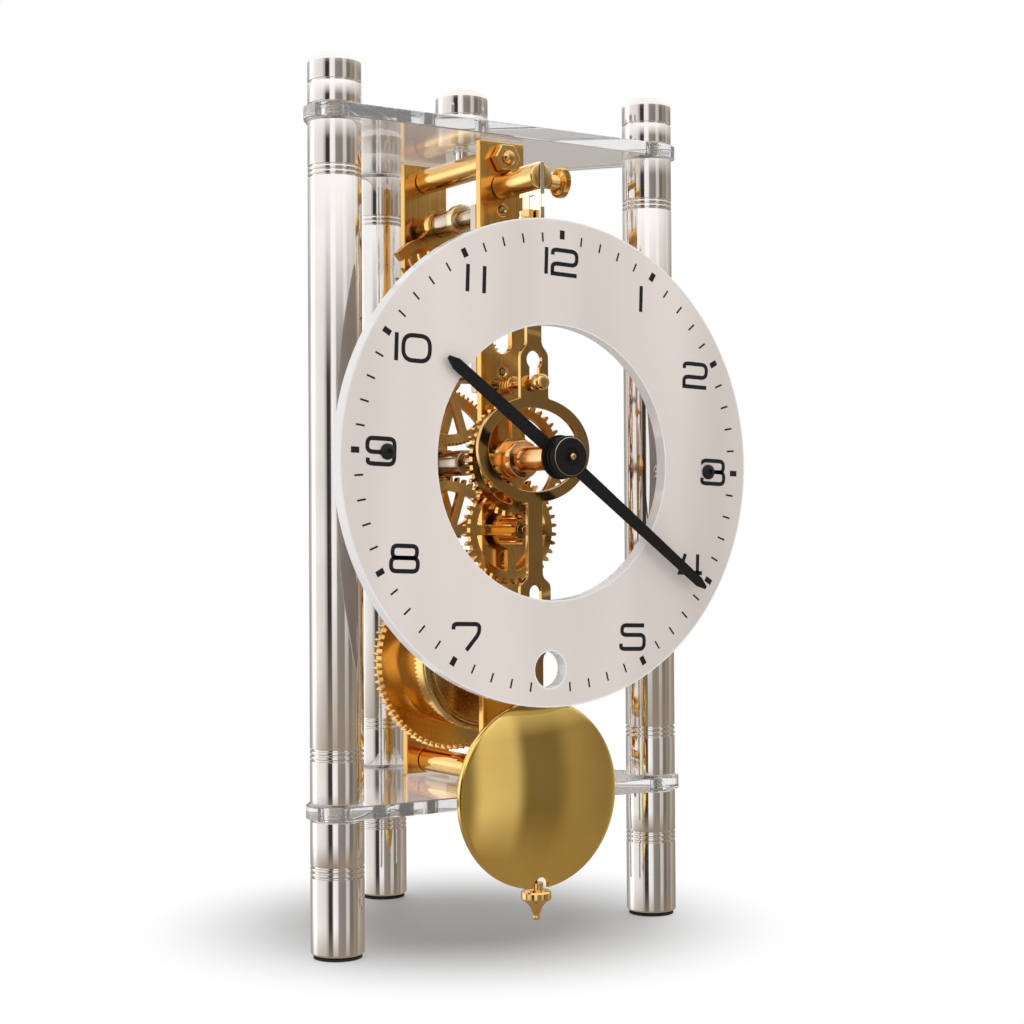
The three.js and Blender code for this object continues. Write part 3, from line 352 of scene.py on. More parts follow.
def clear(name, rough, transmission):
    """Acrylic with a faint haze."""
    material, tree, shader = new_material(name)
    feed(tree, shader, {
        "Base Color": (1.0, 0.99, 0.98, 1), "IOR": 1.49, "Transmission Weight": transmission,
        "Roughness": spread(tree, grain(tree, 90), *rough)})
    return material


def plain(name, light, deep, rough, scale, strength):
    """Paint, print or rubber: fine even texture with a slight change of tone and little shine."""
    material, tree, shader = new_material(name)
    fine = grain(tree, scale, 4)
    feed(tree, shader, {
        "Specular IOR Level": 0.15, "Base Color": two_tone(tree, fine, light, deep),
        "Roughness": spread(tree, fine, *rough), "Normal": bumped(tree, fine, strength, 0.00003)})
    return material


def satin(name, light, deep):
    """Silvered satin face: painted highlights as soft upright bands of lighter and darker tone, under a
    fine even grain.
    """
    material, tree, shader = new_material(name)
    # Painted highlights: broad upright bands of lighter tone where a satin face shows soft reflections.
    bands = grain(tree, 1, 1.5, (38, 1, 5))
    fine = grain(tree, 7000, 2)
    feed(tree, shader, {
        "Metallic": 0.25, "Base Color": two_tone(tree, bands, light, deep),
        "Roughness": spread(tree, fine, 0.28, 0.34), "Normal": bumped(tree, fine, 0.02, 0.00003)})
    return material


ALONG_Z = (2600, 2600, 14)
ALONG_Y = (2600, 14, 2600)
FINE = (1500, 1500, 1500)

ALUMINIUM = metal("column_aluminium", (0.86, 0.82, 0.79), (0.76, 0.72, 0.69), (0.05, 0.12), ALONG_Z)
PLATE_BRASS = metal("plate_brass", (0.84, 0.50, 0.15), (0.74, 0.40, 0.10), (0.12, 0.24), ALONG_Z, 0.03)
WHEEL_BRASS = metal("wheel_brass", (0.86, 0.53, 0.18), (0.76, 0.42, 0.11), (0.10, 0.22), FINE, 0.03)
TURNED_BRASS = metal("turned_brass", (0.90, 0.60, 0.24), (0.82, 0.50, 0.16), (0.07, 0.16), ALONG_Y, 0.02)
DRUM_BRASS = metal("drum_brass", (0.88, 0.57, 0.22), (0.80, 0.48, 0.15), (0.05, 0.12), ALONG_Y, 0.02)
CAP_BRASS = metal("cap_brass", (0.60, 0.44, 0.20), (0.48, 0.33, 0.13), (0.2, 0.32), FINE, 0.04)
ROD_BRASS = metal("rod_brass", (0.72, 0.46, 0.17), (0.58, 0.35, 0.11), (0.08, 0.16), ALONG_Z, 0.02)
BOB_BRASS = metal("bob_brass", (0.94, 0.68, 0.21), (0.84, 0.57, 0.15), (0.02, 0.06), FINE, 0.01)
COPPER = metal("copper_pipe", (0.94, 0.54, 0.26), (0.86, 0.44, 0.18), (0.10, 0.2), ALONG_Y, 0.03)
STEEL = metal("turned_steel", (0.54, 0.46, 0.37), (0.38, 0.31, 0.24), (0.08, 0.18), ALONG_Y, 0.03)
CREAM_METAL = metal("pale_brass", (0.96, 0.84, 0.62), (0.88, 0.72, 0.46), (0.1, 0.22), FINE, 0.02)
SPRING_STEEL = metal("spring_steel", (0.36, 0.39, 0.44), (0.28, 0.30, 0.34), (0.2, 0.34), FINE)
IVORY_METAL = metal("pale_ring", (0.92, 0.74, 0.48), (0.86, 0.62, 0.34), (0.16, 0.3), FINE)
ACRYLIC = clear("plate_acrylic", (0.0, 0.03), 0.88)
DIAL_ACRYLIC = clear("dial_acrylic", (0.02, 0.08), 0.2)
DIAL_FACE = satin("dial_satin", (0.92, 0.84, 0.79), (0.72, 0.655, 0.61))
# Painted shade: the rear layer is the face's satin at about half its brightness, standing for the shade
# behind the dial.
DIAL_REAR_PAINTED_SHADE = satin("dial_back", (0.46, 0.43, 0.41), (0.38, 0.355, 0.335))
PRINT = plain("dial_print", (0.010, 0.010, 0.013), (0.018, 0.018, 0.021), (0.45, 0.6), 2500, 0.05)
HAND_BLACK = plain("hand_black", (0.006, 0.006, 0.006), (0.011, 0.011, 0.010), (0.5, 0.62), 3000, 0.1)
SCREW_BLACK = plain("screw_black", (0.010, 0.010, 0.011), (0.018, 0.018, 0.019), (0.3, 0.45), 3000, 0.1)
RUBBER = plain("foot_rubber", (0.02, 0.02, 0.02), (0.03, 0.03, 0.03), (0.7, 0.9), 2500, 0.3)

# ---- Pieces ----------------------------------------------------------------------------------


def detail(name, node, mesh, material):
    """A shown piece that rides with the CAD node's body, beside whatever shows the node itself."""
    piece = bpy.data.objects.new(name, on_frame(mesh))
    bpy.context.scene.collection.objects.link(piece)
    piece.data.materials.append(material)
    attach(piece, BODY_OF[node])
    return piece


def shown(node, mesh, material):
    """A fine mesh that stands for one CAD node."""
    piece = detail(f"{node}_fine", node, mesh, material)
    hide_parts(node)
    return piece


# ---- Columns ---------------------------------------------------------------------------------

PLATE_HOLE_RADIUS = 2.2
GROOVE_HEIGHTS = {"foot": [19.2], "tube": [44.9, 173.8]}
CAP_GROOVE_Z = 193.7


def grooves(radius, centre_z, count=3, pitch=1.1, half_width=0.25, depth=0.5):
    """Profile points of fine grooves, going up."""
    out = []
    for i in range(count):
        z = centre_z + (i - (count - 1) / 2) * pitch
        out += [(radius, z - half_width), (radius - depth, z - 0.8 * half_width),
                (radius - depth, z + 0.8 * half_width), (radius, z + half_width)]
    return out


def foot_profile(low, high):
    r = COLUMN_RADIUS
    return [(0, low), (r - 0.35, low), (r, low + 0.4), *grooves(r, GROOVE_HEIGHTS["foot"][0]),
            (r, high - 0.25), (r - 0.25, high), (PLATE_HOLE_RADIUS, high), (PLATE_HOLE_RADIUS, high - 3),
            (0, high - 3)]


def tube_profile(low, high):
    r = COLUMN_RADIUS
    ring = [point for z in GROOVE_HEIGHTS["tube"] for point in grooves(r, z)]
    return [(PLATE_HOLE_RADIUS, low), (r - 0.25, low), (r, low + 0.25), *ring, (r, high - 0.25),
            (r - 0.25, high), (PLATE_HOLE_RADIUS, high)]


def cap_profile(low, high, radius=COLUMN_RADIUS):
    return [(0, low + 2), (PLATE_HOLE_RADIUS, low + 2), (PLATE_HOLE_RADIUS, low), (radius - 0.25, low),
            (radius, low + 0.25), *grooves(radius, CAP_GROOVE_Z, count=1, half_width=0.3),
            (radius, high - 1.9), (radius - 0.35, high - 1.2), (radius - 1.5, high - 0.15),
            (radius - 1.9, high), (0, high)]


def threaded_rod(low, high, radius, pitch=0.7):
    profile = [(0, low)]
    steps = int((high - low) / pitch)
    for i in range(steps):
        z = low + i * pitch
        profile += [(radius - 0.3, z), (radius, z + pitch / 2)]
    return profile + [(radius - 0.3, high), (0, high)]


def build_columns():
    for side, centre in COLUMNS.items():
        pad = f"foot_pad_{side}"
        low, high = span(pad, "z")
        radius = half_width(pad)
        disc = lathe([(0, low), (radius, low), (radius, high), (0, high)])
        shown(pad, at(disc, centre.x, centre.y), RUBBER)
        for part, profile in (("foot", foot_profile), ("tube", tube_profile), ("cap", cap_profile)):
            node = f"column_{part}_{side}"
            mesh = lathe(profile(*span(node, "z")), 96, 0.06, closed=part == "tube")
            shown(node, at(mesh, centre.x, centre.y), ALUMINIUM)
        node = f"column_rod_{side}"
        profile = threaded_rod(*span(node, "z"), half_width(node))
        shown(node, at(lathe(profile, 32, 0), centre.x, centre.y), STEEL)


# ---- Clear plates ----------------------------------------------------------------------------


def build_plates():
    left, right, back = (COLUMNS[side] for side in ("left", "right", "back"))
    slope = math.atan2(back.y - left.y, right.x)
    corner = extent("top_plate")[1].x - right.x
    outline = [
        *arc(left.x, left.y, corner, slope + UP, 1.5 * math.pi, 24),
        *arc(right.x, right.y, corner, DOWN, UP - slope, 24),
        *arc(back.x, back.y, corner, UP - slope, UP + slope, 24),
    ]
    holes = [circle(c.x, c.y, PLATE_HOLE_RADIUS, 48) for c in (left, right, back)]
    holes.append(circle(0, MOVEMENT_Y, 1.9, 48))
    for node, (low, high) in (("bottom_plate", BOTTOM_PLATE), ("top_plate", TOP_PLATE)):
        shown(node, level(outline, holes, low, high, 0.25), ACRYLIC)


# ---- Movement plates, pillars and their fixings ----------------------------------------------

STUB_RADIUS = 1.6
BUSH_RADIUS = 1.5
PIVOT_RADIUS = 0.6
BARREL_BEARING = 2.2
CENTRE_BEARING = 1.2
CRUTCH_PIN_Z = 127.7
CRUTCH_SLOT = (3.5, 1.5)
FRONT_WINDOW = (2.6, 135.4, 145.2)
FRONT_FACES = (-1.5, 0.5)
BACK_FACES = span("back_movement_plate")
INSIDE = (FRONT_FACES[1] + GAP, BACK_FACES[0] - GAP)
BUSHED = (INTERMEDIATE_Z, THIRD_Z, ESCAPE_Z, ANCHOR_Z)


def upright_slot(half, low, high):
    return [*arc(0, high - half, half, 0, math.pi), *arc(0, low + half, half, math.pi, TURN)]


def movement_plate(faces, openings=()):
    outline = rectangle(*span("back_movement_plate", "x"), *span("back_movement_plate", "z"))
    holes = [circle(0, BARREL_Z, BARREL_BEARING + 0.2), circle(0, CENTRE_Z, CENTRE_BEARING + 0.2)]
    holes += [circle(0, z, BUSH_RADIUS + 0.05, 40) for z in BUSHED]
    holes += [circle(0, z, STUB_RADIUS + 0.15, 40) for z in (TOP_PILLAR_Z, BOTTOM_PILLAR_Z)]
    return flat(outline, [*holes, *openings], *faces, 0.22)


def bushes(outer_face, inner_face):
    """Pressed bushes with a small oil sink on the plate's outer face."""
    inwards = 1 if inner_face > outer_face else -1
    profile = [(PIVOT_RADIUS + 0.08, outer_face + 0.6 * inwards), (1.15, outer_face + 0.02 * inwards),
               (BUSH_RADIUS, outer_face + 0.02 * inwards), (BUSH_RADIUS, inner_face),
               (PIVOT_RADIUS + 0.08, inner_face)]
    return together(*[spun(profile, 48, 0.05, True, z=z) for z in BUSHED])


def hexagon(across_flats):
    return [polar(across_flats / math.sqrt(3), TURN * i / 6) for i in range(6)]


def build_movement_plates():
    half, across = CRUTCH_SLOT
    slot = [(z, x) for x, z in upright_slot(across, -half, half)]
    openings = [moved(slot, 0, CRUTCH_PIN_Z), upright_slot(*FRONT_WINDOW)]
    shown("front_movement_plate", movement_plate(FRONT_FACES, openings), PLATE_BRASS)
    shown("back_movement_plate", movement_plate(BACK_FACES), PLATE_BRASS)
    detail("front_bushes", "front_movement_plate", bushes(*FRONT_FACES), TURNED_BRASS)
    detail("back_bushes", "back_movement_plate", bushes(*reversed(BACK_FACES)), TURNED_BRASS)
    end = span("front_movement_plate")[0]
    root = FRONT_FACES[0]
    stud = spun([(0, end), (0.75, end), (0.9, end + 0.15), (0.9, root - 1), (1.6, root - 1),
                 (1.6, root), (0, root)], 40, 0.05, z=STUD_Z)
    detail("minute_wheel_stud", "front_movement_plate", stud, STEEL)
    clip = flat([*arc(0, 0, 2, -4.3, 1.16, 40), *arc(0, 0, 0.92, 1.16, -4.3, 32)], [],
                end + 0.25, end + 0.6, 0.05)
    detail("minute_wheel_clip", "front_movement_plate", at(clip, z=STUD_Z), STEEL)


def build_pillars():
    inside, outside = INSIDE
    for place, z in (("top", TOP_PILLAR_Z), ("bottom", BOTTOM_PILLAR_Z)):
        front, back = span(f"{place}_pillar")
        pillar = spun([(0, front), (0.9, front), (STUB_RADIUS, front + 0.7), (STUB_RADIUS, inside),
                       (2.9, inside), (3, inside + 0.2), (3, BACK_FACES[0] - 0.5), (2.9, outside),
                       (STUB_RADIUS, outside), (STUB_RADIUS, back - 0.2), (1.4, back), (0, back)],
                      72, 0.08, z=z)
        shown(f"{place}_pillar", pillar, TURNED_BRASS)
        low, high = extent(f"pillar_nut_{place}")
        nut = flat(hexagon(high.z - low.z), [circle(0, 0, STUB_RADIUS + 0.05, 48)], low.y, high.y, 0.28)
        shown(f"pillar_nut_{place}", at(nut, z=z), TURNED_BRASS)
    low, high = extent("movement_cap")
    seat = TOP_PLATE[1] + GAP
    cap = lathe([(0, low.z), (STUB_RADIUS, low.z), (STUB_RADIUS, seat),
                 *cap_profile(seat, high.z, high.x)[3:]], 96, 0.06)
    shown("movement_cap", at(cap, 0, MOVEMENT_Y), ALUMINIUM)
    low, high = span("movement_screw", "z")
    head_top = BOTTOM_PLATE[0] - GAP
    screw = lathe([(0, low + 1.4), (1.5, low + 1.4), (1.6, low), (3.6, low), (4.5, low + 0.9),
                   (4.5, head_top), (STUB_RADIUS, head_top), (STUB_RADIUS, high), (0, high)], 72)
    shown("movement_screw", at(screw, 0, MOVEMENT_Y), STEEL)


# ---- Dial ------------------------------------------------------------------------------------

DIAL_HOLE_RADIUS = 30.9
SIX_HOLE = (46.4, 4.1)
FACE_LAYER = 0.12
PRINT_THICKNESS = 0.03
HOUR_MARK = (1.3, 2.0, 51.3)
MINUTE_MARK = (0.42, 2.1, 50.5)
NUMERAL_PLACE = 45.1
STROKE = 0.95

# Numerals as pen strokes in millimetres about their middle: (points, corner radius, closed).
GLYPHS = {
    "0": [([(-3.3, -2.7), (3.3, -2.7), (3.3, 2.7), (-3.3, 2.7)], 2.4, True)],
    "1": [([(0, -3), (0, 3)], 0, False)],
    "2": [([(-3.3, 1.5), (-3.3, 2.7), (3.3, 2.7), (3.3, -0.4), (-3.3, -0.4), (-3.3, -2.5)], 1.5, False),
          ([(-3.75, -2.7), (3.4, -2.7)], 0, False)],
    "3": [([(-3.2, 1.5), (-3.2, 2.7), (3.1, 2.7), (3.1, 0.1), (-0.9, 0.1)], 1.3, False),
          ([(-0.9, 0.1), (3.3, 0.1), (3.3, -2.7), (-3.3, -2.7), (-3.3, -1.4)], 1.3, False)],
    "4": [([(-1.7, 3), (-3.3, -1.4), (3.4, -1.4)], 0, False), ([(2, 3), (2, -3)], 0, False)],
    "5": [([(3.2, 2.7), (-3.1, 2.7), (-3.1, 0.5), (3.3, 0.5), (3.3, -2.7), (-3.3, -2.7), (-3.3, -1.5)],
           1.3, False)],
    "7": [([(-3.3, 1.5), (-3.3, 2.7), (3.3, 2.7), (3.3, 0.7), (0.1, -3)], 1.2, False)],
    "8": [([(-3, 0.15), (3, 0.15), (3, 2.7), (-3, 2.7)], 1.2, True),
          ([(-3.3, -2.7), (3.3, -2.7), (3.3, 0.15), (-3.3, 0.15)], 1.3, True)],
    "9": [([(-3.3, -0.2), (3.3, -0.2), (3.3, 2.7), (-3.3, 2.7)], 1.3, True),
          ([(3.3, 0.8), (3.3, -2.7), (-3.1, -2.7), (-3.1, -1.5)], 1.5, False)],
}
HALF_WIDTH = {digit: 0.35 if digit == "1" else 3.64 for digit in GLYPHS}
DIGIT_GAP = {"10": 1.0, "11": 3.6, "12": 1.0}
NUDGE = {8: 0.5, 10: 1.15}  # some numerals stand a little right of the numeral circle


def ribbon(points, width, closed):
    """Outline and holes of a pen stroke of one width along the points."""
    sides = ([], [])
    count = len(points)
    for i, here in enumerate(points):
        steps = []
        if closed or i > 0:
            steps.append(Vector(here) - Vector(points[i - 1]))
        if closed or i < count - 1:
            steps.append(Vector(points[(i + 1) % count]) - Vector(here))
        across = [Vector((-s.y, s.x)).normalized() for s in steps]
        mitre = across[0]
        if len(across) == 2:
            mitre = (across[0] + across[1]) / (1 + across[0].dot(across[1]))
        for side, sign in zip(sides, (1, -1)):
            p = Vector(here) + mitre * (sign * width / 2)
            side.append((p.x, p.y))
    if closed:
        return sides[1], [sides[0]]
    return [*sides[0], *reversed(sides[1])], []


def numeral(text, front, back):
    pieces = []
    widths = [2 * HALF_WIDTH[digit] for digit in text]
    gap = DIGIT_GAP.get(text, 0)
    x = -(sum(widths) + gap) / 2
    for digit, width in zip(text, widths):
        for points, corner, closed in GLYPHS[digit]:
            line = rounded(points, corner, closed, steps=8) if corner else points
            outline, holes = ribbon(line, STROKE, closed)
            pieces.append(at(flat(outline, holes, front, back, 0.01), x=x + width / 2))
        x += width + gap
    return together(*pieces)


def marks(front, back):
    pieces = []
    for minute in range(60):
        if minute == 30:
            continue
        width, length, place = MINUTE_MARK if minute % 5 else HOUR_MARK
        bar = block(-width / 2, width / 2, front, back, place - length / 2, place + length / 2, 0.01)
        pieces.append(at(bar, tilt=TURN * minute / 60))
    return together(*pieces)


def dial_ring(radius, widen, screws, faces, bevel):
    """One layer of the dial; `widen` is added to the radius of its round hole and of the one at 6."""
    six_z, six_radius = SIX_HOLE
    holes = [circle(0, 0, DIAL_HOLE_RADIUS + widen[0], 192),
             circle(0, -six_z, six_radius + widen[1], 72)]
    return flat(circle(0, 0, radius, 256), [*holes, *screws], *faces, bevel)


def on_dial(mesh):
    return at(mesh, z=DIAL_Z, tilt=-DIAL_TURN)


def build_dial():
    low, high = extent("dial")
    radius = (high.z - low.z) / 2
    fixing = middle("dial_screw_right").x / math.cos(DIAL_TURN)
    screws = [circle(side * fixing, 0, 0.9, 32) for side in (-1, 1)]
    face = (low.y, low.y + FACE_LAYER)
    rear = (high.y - FACE_LAYER, high.y)
    body = dial_ring(radius, (0, 0), screws, (face[1], rear[0]), 0.2)
    shown("dial", on_dial(body), DIAL_ACRYLIC)
    # The rear layer carries painted shade, a darker copy of the face's satin.
    for name, faces, material in (("dial_face", face, DIAL_FACE), ("dial_rear", rear, DIAL_REAR_PAINTED_SHADE)):
        layer = dial_ring(radius - 0.45, (0.4, 0.5), screws, faces, 0.03)
        detail(name, "dial", on_dial(layer), material)
    print_faces = (low.y - PRINT_THICKNESS, low.y + 0.01)
    detail("dial_marks", "dial", on_dial(marks(*print_faces)), PRINT)
    for hour in (1, 2, 3, 4, 5, 7, 8, 9, 10, 11, 12):
        x, z = polar(NUMERAL_PLACE, UP - TURN * hour / 12)
        placed = at(numeral(str(hour), *print_faces), x=x + NUDGE.get(hour, 0), z=z)
        detail(f"numeral_{hour}", "dial", on_dial(placed), PRINT)


def build_dial_fixings():
    face = span("dial")[0]
    end = -COLUMN_RADIUS - GAP
    for side in ("left", "right"):
        screw, standoff = f"dial_screw_{side}", f"dial_standoff_{side}"
        x, z = middle(screw).x, middle(screw).z
        low, high = span(screw)
        head = spun([(0, low + 0.55), (0.6, low + 0.55), (0.6, low + 0.08), (0.75, low),
                     (1.1, low + 0.1), (1.7, low + 0.5), (1.75, face - 0.06), (0.8, face - 0.06),
                     (0.8, high), (0, high)],
                    48, 0.06, x=x, z=z)
        shown(screw, head, SCREW_BLACK)
        low, high = span(standoff)
        r = half_width(standoff)
        tube = spun([(0, low + 6), (0.9, low + 6), (0.9, low), (r - 0.3, low), (r, low + 0.3),
                     (r, end - 0.3), (r - 0.3, end), (1.1, end), (1.1, high), (0, high)],
                    72, 0.08, x=x, z=z)
        shown(standoff, tube, ALUMINIUM)


# ---- Gears -----------------------------------------------------------------------------------

TEETH = {
    "great": 80, "intermediate_pinion": 10, "intermediate": 60, "centre_pinion": 10, "centre": 84,
    "third_pinion": 7, "third": 95, "escape_pinion": 7, "escape": 30, "cannon": 12, "minute": 36,
    "minute_pinion": 10, "hour": 40,
}
# One flank: height above the pitch circle in modules, half width as a share of the tooth pitch.
WHEEL_FLANK = [(-1.15, 0.26), (-0.95, 0.225), (-0.1, 0.21), (0.35, 0.165), (0.65, 0.1), (0.78, 0.035)]
LEAF_FLANK = [(-1.2, 0.17), (-0.1, 0.15), (0.25, 0.12), (0.45, 0.06)]


def pitch_radius(gear, mate, distance):
    return distance * TEETH[gear] / (TEETH[gear] + TEETH[mate])


def toothed(gear, radius, phase, flank):
    teeth = TEETH[gear]
    module = 2 * radius / teeth
    pitch = TURN / teeth
    out = []
    for i in range(teeth):
        centre = phase + i * pitch
        out += [polar(radius + h * module, centre - share * pitch) for h, share in flank]
        out += [polar(radius + h * module, centre + share * pitch) for h, share in reversed(flank)]
    return out


def crossings(count, hub, rim, spoke):
    """Openings between a wheel's spokes, with small rounded corners."""
    openings = []
    for i in range(count):
        centre = TURN * (i + 0.5) / count
        outer = math.pi / count - math.asin(spoke / 2 / rim)
        inner = math.pi / count - math.asin(spoke / 2 / hub)
        loop = [*arc(0, 0, rim, centre - outer, centre + outer, 20),
                *arc(0, 0, hub, centre + inner, centre - inner, 6)]
        openings.append(rounded(loop, 0.5, smallest=0.5))
    return openings


def wheel(outline, bore, front, back, openings=(), bevel=0.06):
    return flat(outline, [circle(0, 0, bore, 32), *openings], front, back, bevel)


def leaves(gear, mate, distance, front, back, phase=None):
    radius = pitch_radius(gear, mate, distance)
    turn = DOWN + math.pi / TEETH[gear] if phase is None else phase
    return flat(toothed(gear, radius, turn, LEAF_FLANK), [], front, back, 0.04)


def arbor(radius, *steps):
    """Arbor between the plates with fine pivots; steps are (radius, front, back) of thicker parts."""
    inside, outside = INSIDE
    front, back = FRONT_FACES[0] + GAP, BACK_FACES[1] - GAP
    profile = [(0, front), (PIVOT_RADIUS, front), (PIVOT_RADIUS, inside), (radius, inside)]
    for thick, start, end in steps:
        profile += [(radius, start), (thick, start), (thick, end), (radius, end)]
    if not steps:
        profile.append(profile[-1])  # a doubled point leaves this shoulder sharp
    profile += [(radius, outside), (PIVOT_RADIUS, outside), (PIVOT_RADIUS, back), (0, back)]
    return lying(lathe(profile, 40, 0.05))


# ---- Going train -----------------------------------------------------------------------------

WINDING_RADIUS = 2.9
GREAT_THICKNESS = 2.8
RATCHET_TEETH = 18
ESCAPE_TIP = (ANCHOR_Z - ESCAPE_Z) / math.sqrt(2)
CLICK_PIVOT = (2.2, 74.4)


def build_barrel():
    front, back = span("barrel")
    cap_front, cap_back = span("barrel_cap")
    drum = extent("barrel_cap")[1].x
    hub = WINDING_RADIUS + 0.2
    teeth_front = back - GREAT_THICKNESS
    radius = pitch_radius("great", "intermediate_pinion", INTERMEDIATE_Z - BARREL_Z)
    great = wheel(toothed("great", radius, UP, WHEEL_FLANK), hub, teeth_front, back, bevel=0.12)
    shown("barrel", at(great, z=BARREL_Z), WHEEL_BRASS)
    wall = spun([(drum - 1.1, front), (drum - 0.15, front), (drum, front + 0.15),
                 (drum, teeth_front + 0.1), (drum - 1.1, teeth_front + 0.1)],
                160, 0.05, True, z=BARREL_Z)
    detail("barrel_drum", "barrel", wall, DRUM_BRASS)
    cap = spun([(hub, cap_front - 0.5), (hub + 1.6, cap_front - 0.5), (hub + 1.9, cap_front),
                (drum - 2.2, cap_front), (drum - 2.0, cap_front + 0.15), (drum - 1.5, cap_front + 0.15),
                (drum - 1.3, cap_front), (drum - 0.4, cap_front), (drum, cap_front + 0.5),
                (drum, cap_back), (hub, cap_back)], 160, 0.06, True, z=BARREL_Z)
    shown("barrel_cap", cap, CAP_BRASS)


def build_mainspring():
    front, back = span("mainspring")
    outer = extent("mainspring")[1].x
    inner, turns, strip, steps = 4.0, 4, 0.45, 192
    sides = ([], [])
    for i in range(steps + 1):
        share = i / steps
        radius = inner + (outer - inner) * share
        for side, inset in zip(sides, (0, strip)):
            side.append(polar(radius - inset, TURN * turns * share))
    spiral = flat([*sides[0], *reversed(sides[1])], [], front, back, 0.03)
    shown("mainspring", at(spiral, z=BARREL_Z), SPRING_STEEL)


def build_winding():
    front, back = span("winding_arbor")
    inside, outside = INSIDE
    ratchet_faces = span("ratchet_wheel")
    shoulder = ratchet_faces[1] + 1
    body = spun([(0, front), (BARREL_BEARING - 0.2, front), (BARREL_BEARING, front + 0.2),
                 (BARREL_BEARING, inside), (WINDING_RADIUS, inside), (WINDING_RADIUS, outside),
                 (BARREL_BEARING, outside), (BARREL_BEARING, shoulder), (0, shoulder)], 64, 0.06)
    square = block(-1.5, 1.5, ratchet_faces[1], back, -1.5, 1.5, 0.25)
    shown("winding_arbor", at(together(body, square), z=BARREL_Z), STEEL)
    radius = extent("ratchet_wheel")[1].x
    step = TURN / RATCHET_TEETH
    outline = []
    for i in range(RATCHET_TEETH):
        outline += [polar(radius - 0.8, i * step), polar(radius, (i + 0.9) * step)]
    ratchet = wheel(outline, BARREL_BEARING + 0.15, *ratchet_faces, bevel=0.08)
    shown("ratchet_wheel", at(ratchet, z=BARREL_Z), STEEL)
    build_click(BARREL_Z + radius)


def build_click(ratchet_top):
    front, back = span("click")
    x, z = CLICK_PIVOT
    beak = ratchet_top + GAP
    outline = [(x - 2, z - 1.2), (x - 3.4, beak + 1.4), (x - 1.6, beak + 0.25), (x + 0.3, beak + 2.4),
               (x + 2, z - 0.6), (x + 1.8, z + 1.3), (x, z + 2), (x - 1.8, z + 1.2)]
    lever = flat(rounded(outline, 0.7), [], front, front + 1.4, 0.1)
    head = spun([(0, front + 1), (1.5, front + 1), (1.5, back - 0.3), (1.1, back), (0, back)], 48,
                x=x, z=z)
    shown("click", together(lever, head), STEEL)


def train_wheel(node, gear, mate, distance, hub, rim, spoke=2.0, bore=1.1):
    radius = pitch_radius(gear, mate, distance)
    openings = crossings(5, hub, radius - rim, spoke)
    return wheel(toothed(gear, radius, UP, WHEEL_FLANK), bore, *span(node), openings)


def collet(name, z, radius, front, back, bore=1.0):
    ring = spun([(bore, front), (radius - 0.2, front), (radius, front + 0.2), (radius, back),
                 (bore, back)], 64, 0.05, True, z=z)
    detail(f"{name}_collet", f"{name}_wheel", ring, TURNED_BRASS)


def build_stage(name, z, disc, radius, pinion):
    """A wheel and its arbor, with the pinion that the wheel before drives."""
    shown(f"{name}_wheel", at(disc, z=z), WHEEL_BRASS)
    shown(f"{name}_arbor", at(together(arbor(radius), pinion), z=z), STEEL)


def build_train():
    great_distance = INTERMEDIATE_Z - BARREL_Z
    centre_distance = CENTRE_Z - INTERMEDIATE_Z
    third_distance = THIRD_Z - CENTRE_Z
    escape_distance = ESCAPE_Z - THIRD_Z

    disc = train_wheel("intermediate_wheel", "intermediate", "centre_pinion", centre_distance, 4.6, 3.2)
    pinion = leaves("intermediate_pinion", "great", great_distance, 18.4, 23.6)
    build_stage("intermediate", INTERMEDIATE_Z, disc, 1.0, pinion)
    collet("intermediate", INTERMEDIATE_Z, 2.3, 23.7, 25.3)

    disc = train_wheel("third_wheel", "third", "escape_pinion", escape_distance, 3.6, 2.6)
    pinion = leaves("third_pinion", "centre", third_distance, 28.4, 31.8)
    build_stage("third", THIRD_Z, disc, 1.0, pinion)
    collet("third", THIRD_Z, 2.1, 21.2, 23.0)

    pinion = leaves("escape_pinion", "third", escape_distance, 22, 25.4)
    build_stage("escape", ESCAPE_Z, escape_wheel(), 0.8, pinion)
    collet("escape", ESCAPE_Z, 1.9, 27.3, 28.9, 0.8)

    disc = train_wheel("centre_wheel", "centre", "third_pinion", third_distance, 4.4, 3.0, 2.2, 1.6)
    shown("centre_wheel", at(disc, z=CENTRE_Z), WHEEL_BRASS)
    collet("centre", CENTRE_Z, 2.9, 30.7, 32.3, 1.5)


def escape_wheel():
    step = TURN / TEETH["escape"]
    tip = ESCAPE_TIP
    outline = []
    for i in range(TEETH["escape"]):
        a = UP + i * step
        outline += [polar(tip - 2.2, a - 0.3 * step), polar(tip - 1.2, a - 0.02 * step),
                    polar(tip, a + 0.09 * step), polar(tip - 0.1, a + 0.14 * step),
                    polar(tip - 2.2, a + 0.3 * step)]
    return wheel(outline, 0.9, *span("escape_wheel"), crossings(5, 3, tip - 4.4, 1.6), 0.04)


# ---- Centre arbor, motion work and hands -----------------------------------------------------

HOUR_ANGLE = math.radians(306.2)
MINUTE_ANGLE = math.radians(126.9)


def build_centre_arbor():
    front = span("centre_arbor")[0]
    wire = spun([(0, front), (0.5, front), (0.75, front + 0.35), (0.75, -2.4), (0, -2.4)], 32, 0.05,
                z=CENTRE_Z)
    detail("centre_wire", "centre_arbor", wire, TURNED_BRASS)
    inside, outside = INSIDE
    back = BACK_FACES[1] - GAP
    body = spun([(0, -2.4), (CENTRE_BEARING, -2.2), (CENTRE_BEARING, inside), (1.5, inside),
                 (1.5, 14.3), (2.9, 14.3), (3.1, 14.5), (3.1, 24), (1.5, 24), (1.5, outside),
                 (CENTRE_BEARING, outside), (CENTRE_BEARING, back), (0, back)], 72, 0.06)
    pinion = leaves("centre_pinion", "intermediate", CENTRE_Z - INTERMEDIATE_Z, 23.9, 28.6)
    shown("centre_arbor", at(together(body, pinion), z=CENTRE_Z), STEEL)


